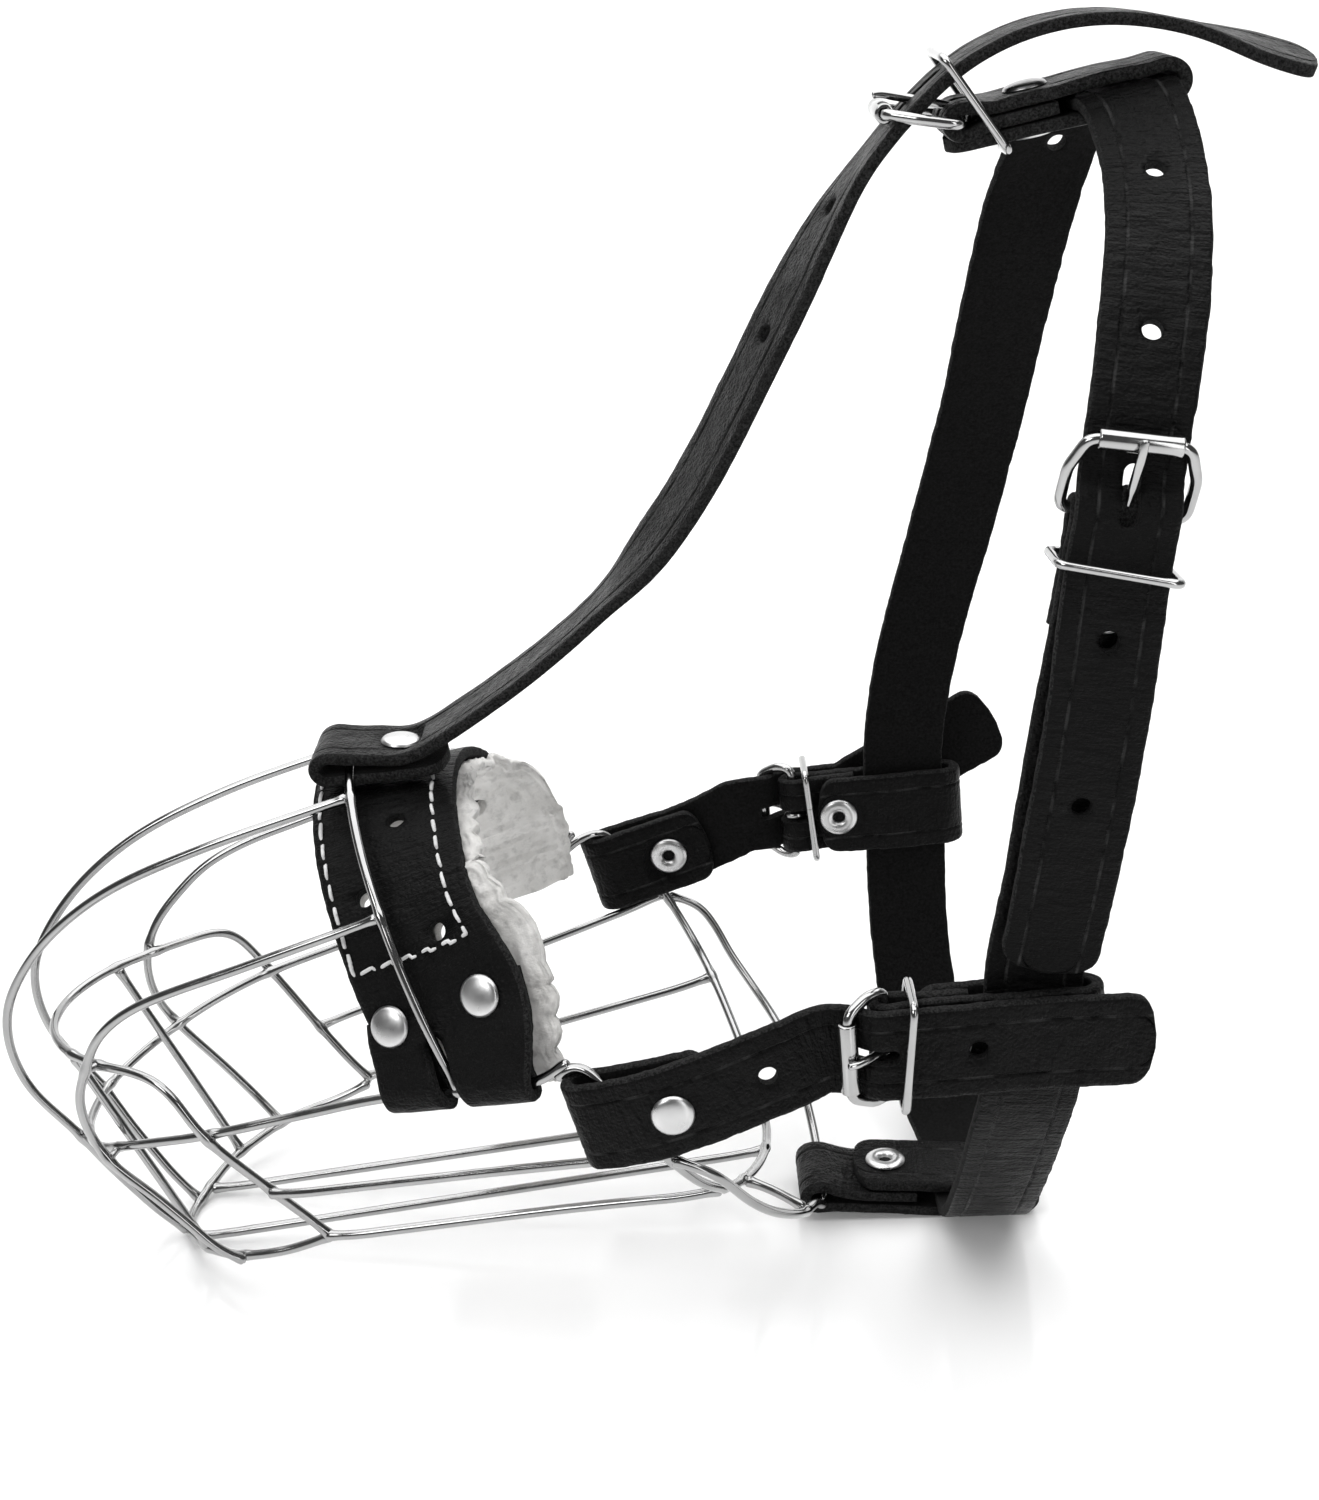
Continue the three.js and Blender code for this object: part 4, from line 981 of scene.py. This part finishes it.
class Buckle:
    """The same axes as the CAD's: ahead from heel to roller, out from the head, across."""

    def __init__(self, name, heel, ahead, out, length, keeper, tilt=0.0, lean=0.0):
        self.name = name
        self.heel = np.array(heel, float)
        self.ahead = unit(np.array(ahead, float))
        out = np.array(out, float)
        self.out = unit(out - self.ahead * np.dot(out, self.ahead))
        self.across = np.cross(self.out, self.ahead)
        rise = math.asin(ROLLER_RISE / length)
        self.length = length
        self.u = self.ahead * math.cos(rise) + self.out * math.sin(rise)
        self.n = self.out * math.cos(rise) - self.ahead * math.sin(rise)
        self.roller_ahead = length * math.cos(rise)
        self.keeper_at = keeper
        self.keeper_tilt = tilt
        self.keeper_lean = lean

    def at(self, ahead, out, across=0.0):
        return self.heel + self.ahead * ahead + self.out * out + self.across * across

    def in_frame(self, u, n, v=0.0):
        return self.heel + self.u * u + self.n * n + self.across * v

    def metal(self, piece, shape, node):
        made = joined(f"{self.name}_{piece}", [shape], [NICKEL])
        body = "muzzle" if node == "frame" else f"{self.name}_{node}_body"
        return settle(made, body, "buckle_metal", f"{self.name}_{node}")

    def ring(self, places, radius):
        line = evenly(0.35, spline(places, 0.08))[1][0]
        return tube_mesh(ease(line, 5), radius, 16)

    def frame(self):
        w, l, r = BUCKLE_HALF, self.length, ROLLER_LENGTH / 2
        bevel = min(6.5, l - 4)
        half = [(0, w - 1.6), (0.5, w - 0.5), (1.6, w), (l - bevel, w), (l - bevel + 1.2, w - 0.5),
                (l - 1.2, r + 1.9), (l - 0.4, r + 1.1), (l, r)]
        outline = loop((0, 6.2), half, [(l, 0)], (0, 6.0))
        shape = self.ring([self.in_frame(u, 0, v) for u, v in outline], BUCKLE_WIRE)
        self.metal("bow", shape, "frame")

    def roller(self):
        """Sheet rolled into a tube, with an open seam along it."""
        h = ROLLER_LENGTH / 2 - 0.2
        inner = BUCKLE_WIRE + 0.2
        turn = np.linspace(ROLLER_SEAM, 360 - ROLLER_SEAM, 40) + ROLLER_TURN
        lip = [(h, 0.22), (h - 0.12, 0.06), (h - 0.35, 0)]
        rings = []
        for v, trim in [(-v, trim) for v, trim in lip] + lip[::-1]:
            section = circle(ROLLER_RADIUS - trim, turn) + circle(inner, turn[::-1])
            rings += [self.in_frame(self.length + x, y, v) for x, y in section]
        cols = 2 * len(turn)
        faces = grid_faces(2 * len(lip), cols)
        for base in (0, len(rings) - cols):
            for k in range(len(turn) - 1):
                faces.append((base + k, base + k + 1, base + cols - 2 - k, base + cols - 1 - k))
        shape = self.metal("rolled", (np.array(rings), faces), "roller")
        shape.modifiers.new("edges", "EDGE_SPLIT").split_angle = SHEET_SPLIT

    def tongue(self):
        places = [self.in_frame(x, y) for x, y in circle(TONGUE_TURN, range(300, 109, -19))]
        tip = ROLLER_RADIUS + GAP + TONGUE_RADIUS
        l = self.length
        places += [self.in_frame(x, y) for x, y in [
            (0.4, TONGUE_TURN + 0.05), (3, TONGUE_TURN + 0.2), (l - 1, tip - 0.05),
            (l + 0.6, tip), (l + 1.9, tip - 0.35)]]
        line = ease(evenly(0.3, spline(places))[1][0], 4)
        share = np.linspace(0, 1, len(line))
        radius = TONGUE_RADIUS * np.interp(share, (0, 0.06, 0.85, 1), (0.8, 1, 1, 0.82))
        self.metal("prong", tube_mesh(line, radius, 16), "tongue")

    def keeper(self):
        ahead, low, high = self.keeper_at
        w = STRAP / 2 + GAP + KEEPER_WIRE + 0.5
        half = [(low, w - 1.5), (low + 0.4, w - 0.4), (low + 1.5, w),
                (high - 1.5, w), (high - 0.4, w - 0.4), (high, w - 1.5)]
        places = [self.at(ahead + v * self.keeper_tilt + (o - low) * self.keeper_lean, o, v)
                  for o, v in loop((low, 3), half, [], (low, 2.8))]
        self.metal("loop", self.ring(places, KEEPER_WIRE), "keeper")

    def build(self):
        self.frame()
        self.roller()
        self.tongue()
        self.keeper()

    def billet(self):
        """The free strap from beyond the roller to behind the heel."""
        ends = [(self.roller_ahead + 6, 0.8), (self.roller_ahead, 1.2)]
        if self.length > 12:
            ends.append((9, 1.5))
        ends += [(5.7, 2.3), (4.2, 4.1), (2.3, 5.4), (0, BILLET_OVER), (-6, BILLET_OUT + 0.1),
                 (-14, BILLET_OUT)]
        return [self.at(ahead, out) for ahead, out in ends]

    def heel_fold(self, flap):
        """The holding strap's end, round the heel and back."""
        half = [(-7, LAYER / 2), (-3, HEEL_FOLD - 0.3)]
        turn = circle(HEEL_FOLD, (90, 45, 0, -45, -90))
        under = [(-3, 0.3 - HEEL_FOLD), (-7, -LAYER / 2), (-flap, -LAYER / 2)]
        return [self.at(ahead, out) for ahead, out in half + turn + under]

    def heel_slot(self):
        return round_cutter(self.at(0.2, 0), self.out, SLIT / 2, SLOT_DEEP, 11, self.ahead)

    def tongue_hole(self):
        ahead = min(4.2, self.length * 0.36)
        return round_cutter(self.at(ahead, 4.4), self.out, SLIT / 2, SLOT_DEEP, 11.5, self.ahead)


CHEEK_LEFT = Buckle("cheek_buckle_left", (163.2, -62.45, 76.2), (-1, 0, -0.05), (0, -1, 0),
                    9.5, (-3.9, -5.3, 8.7), 0.12)
CHEEK_RIGHT = Buckle("cheek_buckle_right", (152, 62.95, 75), (-1, 0, -0.06), (0, 1, 0),
                     9.5, (-3.9, -5.3, 8.7), 0.06)
NECK = Buckle("neck_buckle", (206.9, -60.5, 184.5), (0.15, 0.05, 1), (0, -1, 0),
              15, (-9.8, -4.2, 8.4), 0.06)
CROWN = Buckle("crown_buckle", (183, 0, 250.6), (-1, 0, -0.2), (-0.2, 0, 1),
               15, (-8, -7.1, 13.2), lean=0.46)

# ------------ straps
ACROSS_Y = (0, 1, 0)
CROWN_TWIST = (-0.33, 0.94, 0)
TAIL_TWIST = (0, 0.98, 0.2)
NECK_WAY = (1, 0, 0)
INNER = -1.5 * LAYER - 0.5  # a buckle loop's two layers, where they spread round the neck strap
OUTER = LAYER / 2 + 0.5


def run(points, across):
    """Places on a strap with the way across it that they share."""
    return [(np.array(p, float), np.array(across, float)) for p in points]


def in_plane(points, across=ACROSS_Y):
    return run([(x, 0, z) for x, z in points], across)


def turn_xz(x, z, radius, start, end):
    return [(x + a, z + b) for a, b in circle(radius, np.linspace(start, end, 5))]


def leather(name, route, grain, node, holes=(), cutters=(), tips=(), rivets=()):
    """A strap with its punched holes. holes are (x, y, z) near the hole's middle."""
    strip = Strip(route, grain)
    cutters = list(cutters)
    dents = []
    for hole in holes:
        i = strip.nearest(hole)
        dents.append((i, 0.0))
        cutters.append(round_cutter(strip.p[i], strip.n[i], HOLE_RADIUS, HOLE_DEEP))
    strap = ribbon(name, strip, STRAP / 2, dents=dents, tips=tips, rivets=rivets)
    punch(strap, cutters)
    settle(strap, "muzzle", "strap_leather", node)


def buckle_loop(node, b, start, rear, rivet_at, cap=CAP_HEIGHT):
    """Holds a buckle and loops round the neck strap behind it."""
    radius = (OUTER - INNER) / 2
    turn = [(rear - x, (INNER + OUTER) / 2 + y) for x, y in circle(radius, (-90, -45, 0, 45, 90))]
    route = [b.at(ahead, out) for ahead, out in [
        (start, -1.5 * LAYER), (rivet_at, -1.5 * LAYER), (rivet_at - 5, -1.5 * LAYER),
        (rivet_at - 9, INNER), (rear + 4, INNER), *turn, (rear + 4, OUTER),
        (rivet_at - 9, OUTER), (rivet_at - 5, LAYER / 2), (rivet_at, LAYER / 2),
    ]] + b.heel_fold(4.6 - rivet_at)
    place = (b.at(rivet_at, -LAYER / 2), b.out, 3, 0)
    leather(node + "_leather", run(route, b.across), 1, node, cutters=[b.heel_slot()],
            tips=("start",), rivets=[place])
    rivet(node + "_rivet", *place, cap)


FOREHEAD_RIVET = ((61.4, 0, 118.8), (0.06, 0, 1), 2, 0.2)


def forehead_strap():
    route = [
        *in_plane([
            (72, 118.4), (66, 117.4), (61.4, 117.3), (55, 116.6), (50.5, 116.1),
            *turn_xz(45.6, 118.9, 2.8, 270, 90),
            (50.5, 121.8), (55.5, 121), (61.4, 120.3), (68, 122.3), (77.5, 129), (85.5, 134),
            (93.5, 140), (107.2, 151.6),
        ]),
        *in_plane([(118.5, 164), (129.7, 180.2), (138.6, 196.8), (147.3, 213.6)], CROWN_TWIST),
        *in_plane([(157, 231.5)], (-0.2, 0.97, 0)),
        *in_plane([(165, 243.5), (171.1, 250.4), (176.8, 256.4), (182.7, 261.6), (189, 265),
                   (197.5, 268.2), (207.6, 269.7), (217.8, 269.2), (229, 266.6)]),
        *in_plane([(243.5, 261.9), (249.4, 260), (254, 258.8)], TAIL_TWIST),
    ]
    probe = Strip(route, 1)
    i = probe.nearest((176, 0, 255.6))
    slot = round_cutter(probe.p[i], probe.n[i], SLIT / 2, SLOT_DEEP, 12, probe.t[i])
    leather("forehead_leather", route, 1, "forehead_strap", [(144.8, 0, 208.8), (158.7, 0, 234)],
            [slot], ("start", "end"), [FOREHEAD_RIVET])
    rivet("forehead_rivet", *FOREHEAD_RIVET)


def neck_strap():
    """Up over the crown, down and under the throat, and up again to the neck buckle."""
    b = NECK
    forward = (1, 0, -0.08)

    def through(held, ahead, places):
        """Flat through the loop of another buckle."""
        return [held.at(ahead, -LAYER / 2, v) for v in places]

    route = [
        *run([(194.4, -65.4, 93), (197, -66, 107), (200, -66.6, 128), (203, -66.9, 150)], forward),
        *run(b.billet()[::-1], forward),
        *run([(213.6, -50.5, 220.5), (216.6, -38, 235.5), (217.2, -26, 245.6)], NECK_WAY),
        *run([(216.6, -17, 252.6)], (0.99, 0.05, 0.1)),
        *run([CROWN.at(-31 - 0.13 * v, -LAYER / 2, v) for v in (11.4, 4, -4, -11.4)], -CROWN.ahead),
        *run([(210.2, 15.6, 252.2), (206.6, 19.5, 245.6)], (0.96, 0.2, 0.05)),
        *run([
            (202.4, 28, 227), (199.1, 39, 203), (195.7, 49, 178), (190.8, 55.5, 153),
            (185.6, 59.4, 132), (181, 61.2, 108), *through(CHEEK_RIGHT, -27.7, (12, 0, -12)),
            (180.2, 58.8, 50), (181.8, 51, 31.6), (184.4, 38, 15.4), (187, 25.5, 7.4),
            (189.2, 17, 5), (189.8, 11.8, 4.3), (190, 4, 4.3), (190, -4, 4.3), (190, -11.8, 4.3),
            (190, -17, 5.8), (190, -26, 12.6), (190.4, -38, 26), (191.4, -50.5, 44.4),
            (192, -58, 56.5), *through(CHEEK_LEFT, -29.8, (11.5, 0, -11.5)),
        ], NECK_WAY),
        *run([(195.6, -61.4, 107), (198.4, -62.4, 128), (201.4, -62.8, 150)], forward),
        *run([b.at(-23, LAYER / 2), b.at(-14, LAYER / 2), *b.heel_fold(22.6)], forward),
    ]
    holes = [(217, -30, 242.3), (212.7, -53.1, 216.5), (204.1, -66.7, 161.9),
             (200.1, -66.6, 128.5), (206.6, 20, 244.1)]
    cutters = [b.heel_slot(), b.tongue_hole()]
    leather("neck_leather", route, -1, "neck_strap", holes, cutters, ("start",))
    rivet("neck_rivet", b.at(-18, 0), b.out, cap=FLAT_CAP)


def cheek_strap(side):
    """Folded round the rear hoop, then through the buckle, with a free end behind."""
    name = "left" if side < 0 else "right"
    b = CHEEK_LEFT if side < 0 else CHEEK_RIGHT

    def sided(points):
        return [(x, side * y, z) for x, y, z in points]

    fold = sided([
        (129.6, 63.6, 68), (125, 63.5, 66.5), (120, 63, 64.9), (114, 61.6, 63.3), (108, 60, 61.8),
        (103.6, 59.6, 60.9), (100.9, 60.6, 60.4), (99.9, 62.6, 60.2), (100.9, 64.7, 60.4),
        (104, 66.2, 61), (109, 67.4, 62), (115, 67.7, 63.5), (120, 67.2, 64.9), (125, 66.7, 66.5),
    ])
    if side < 0:
        middle = sided([(133, 66, 69.4), (141, 65.2, 72.4)])
        free = sided([(186, 67.8, 77.6), (202, 67.4, 77.9), (216.4, 66.7, 77.6)])
        free_way = (0.02, 0, 1)
        holes = [(138.7, -65.2, 71.6), (181, -67.8, 77.2)]
    else:
        middle = []
        free = sided([(172, 68.8, 79.6), (186, 69.6, 87), (203.4, 70.6, 96.6)])
        free_way = (-0.42, 0, 1)
        holes = [(186, 69.6, 87)]
    route = [*run(fold, (-0.28, 0, 1)), *run(middle, (-0.22, 0, 1)),
             *run(b.billet(), (-0.06, 0, 1)), *run(free, free_way)]
    place = ((119.4, side * 65.1, 64.6), (0.02, side, 0), 2, 1.0)
    leather(f"cheek_leather_{name}", route, -side, f"cheek_strap_{name}", holes, [b.tongue_hole()],
            ("start", "end"), [place])
    rivet(f"cheek_rivet_{name}", *place)


def throat_strap():
    route = in_plane([
        (175.6, 5.7), (169, 5.9), (163, 6.1), (157.6, 7.9), (154.4, 9),
        *turn_xz(151.8, 6.3, LAYER, 90, 270),
        (155, 3.3), (160, 3.1), (169, 3.1), (173.5, 2.2), (178, 1.3), (185, 1.3), (197, 1.3),
        *turn_xz(200.6, 4.4, 3.1, -90, 90),
        (197, 7.5), (190, 7.5), (183, 7.7), (177, 8.7), (169, 9), (161.4, 9.4),
    ])
    place = ((169, 0, 6), (0, 0, -1), 3, 0)
    leather("throat_leather", route, -1, "throat_strap", tips=("end",), rivets=[place])
    rivet("throat_rivet", *place, 1.2)


basket()
noseband()
for buckle in (CHEEK_LEFT, CHEEK_RIGHT, NECK, CROWN):
    buckle.build()
forehead_strap()
buckle_loop("crown_strap", CROWN, 3, -41.4, -14.6)
buckle_loop("cheek_loop_left", CHEEK_LEFT, -5.9, -40, -12.4, FLAT_CAP)
buckle_loop("cheek_loop_right", CHEEK_RIGHT, -5.9, -38, -10.9, FLAT_CAP)
neck_strap()
cheek_strap(-1)
cheek_strap(1)
throat_strap()


# ------------ stage, in metres
FLOOR_BACK = 1.6  # where the floor starts to curve up
FLOOR_CURVE = 1.4  # the curve's radius


def stage():
    """A pale floor that curves up into a backdrop behind the muzzle."""
    profile = [(-3.0, 0.0), (FLOOR_BACK, 0.0)]
    for down, out in circle(FLOOR_CURVE, 90 * np.arange(1, 13) / 12):
        profile.append((FLOOR_BACK + out, FLOOR_CURVE - down))
    profile.append((FLOOR_BACK + FLOOR_CURVE, 4.5))
    vertices = [(x, y, z) for y, z in profile for x in (-6.0, 6.0)]
    faces = [(2 * k, 2 * k + 1, 2 * k + 3, 2 * k + 2) for k in range(len(profile) - 1)]
    mesh = bpy.data.meshes.new("studio_floor")
    mesh.from_pydata(vertices, [], faces)
    paper = Nodes("studio_paper")
    paper.uniform(Base_Color=grey(0.9), Roughness=0.13, Specular_IOR_Level=0.5,
                  Emission_Color=grey(1.0), Emission_Strength=0.12)
    mesh.materials.append(paper.material)
    mesh.polygons.foreach_set("use_smooth", [True] * len(mesh.polygons))
    linked("studio_floor", mesh)


def softbox(name, place, target, size, power):
    lamp = bpy.data.lights.new(name, "AREA")
    lamp.shape = "RECTANGLE"
    lamp.size, lamp.size_y = size
    lamp.energy = power
    obj = linked(name, lamp)
    obj.location = place
    way = Vector(target) - Vector(place)
    obj.rotation_euler = way.to_track_quat("-Z", "Y").to_euler()


def lights():
    """One wide light overhead for the paper and the top surfaces, two boxes in front."""
    middle = (0, 0, 0.12)
    softbox("overhead", (0, 0.9, 2.6), (0, 0.9, 0), (4.6, 4.6), 150)
    softbox("key", (-1.2, -1.5, 1.5), middle, (1.1, 0.8), 12)
    softbox("strip", (1.0, -1.6, 0.7), middle, (0.4, 1.3), 4)
    world = bpy.data.worlds.new("studio")
    world.use_nodes = True
    world.node_tree.nodes["Background"].inputs["Color"].default_value = grey(0.10)
    bpy.context.scene.world = world


CAMERA = np.array((124.39, -457.0, 292.91))


def camera():
    data = bpy.data.cameras.new("camera")
    data.lens = 52.8
    data.sensor_width = 36
    data.clip_start = 0.01
    obj = linked("camera", data)
    right = Vector((0.9993266, -0.0019094, -0.0366436))
    up = Vector((0.0348914, 0.3585519, 0.9328575))
    back = Vector((0.0113574, -0.9335078, 0.3583770))
    turn = Matrix((right, up, back)).transposed().to_4x4()
    obj.matrix_world = Matrix.Translation((CAMERA - ORIGIN) * MM) @ turn
    bpy.context.scene.camera = obj


stage()
lights()
camera()
bpy.context.scene.view_settings.view_transform = "Standard"
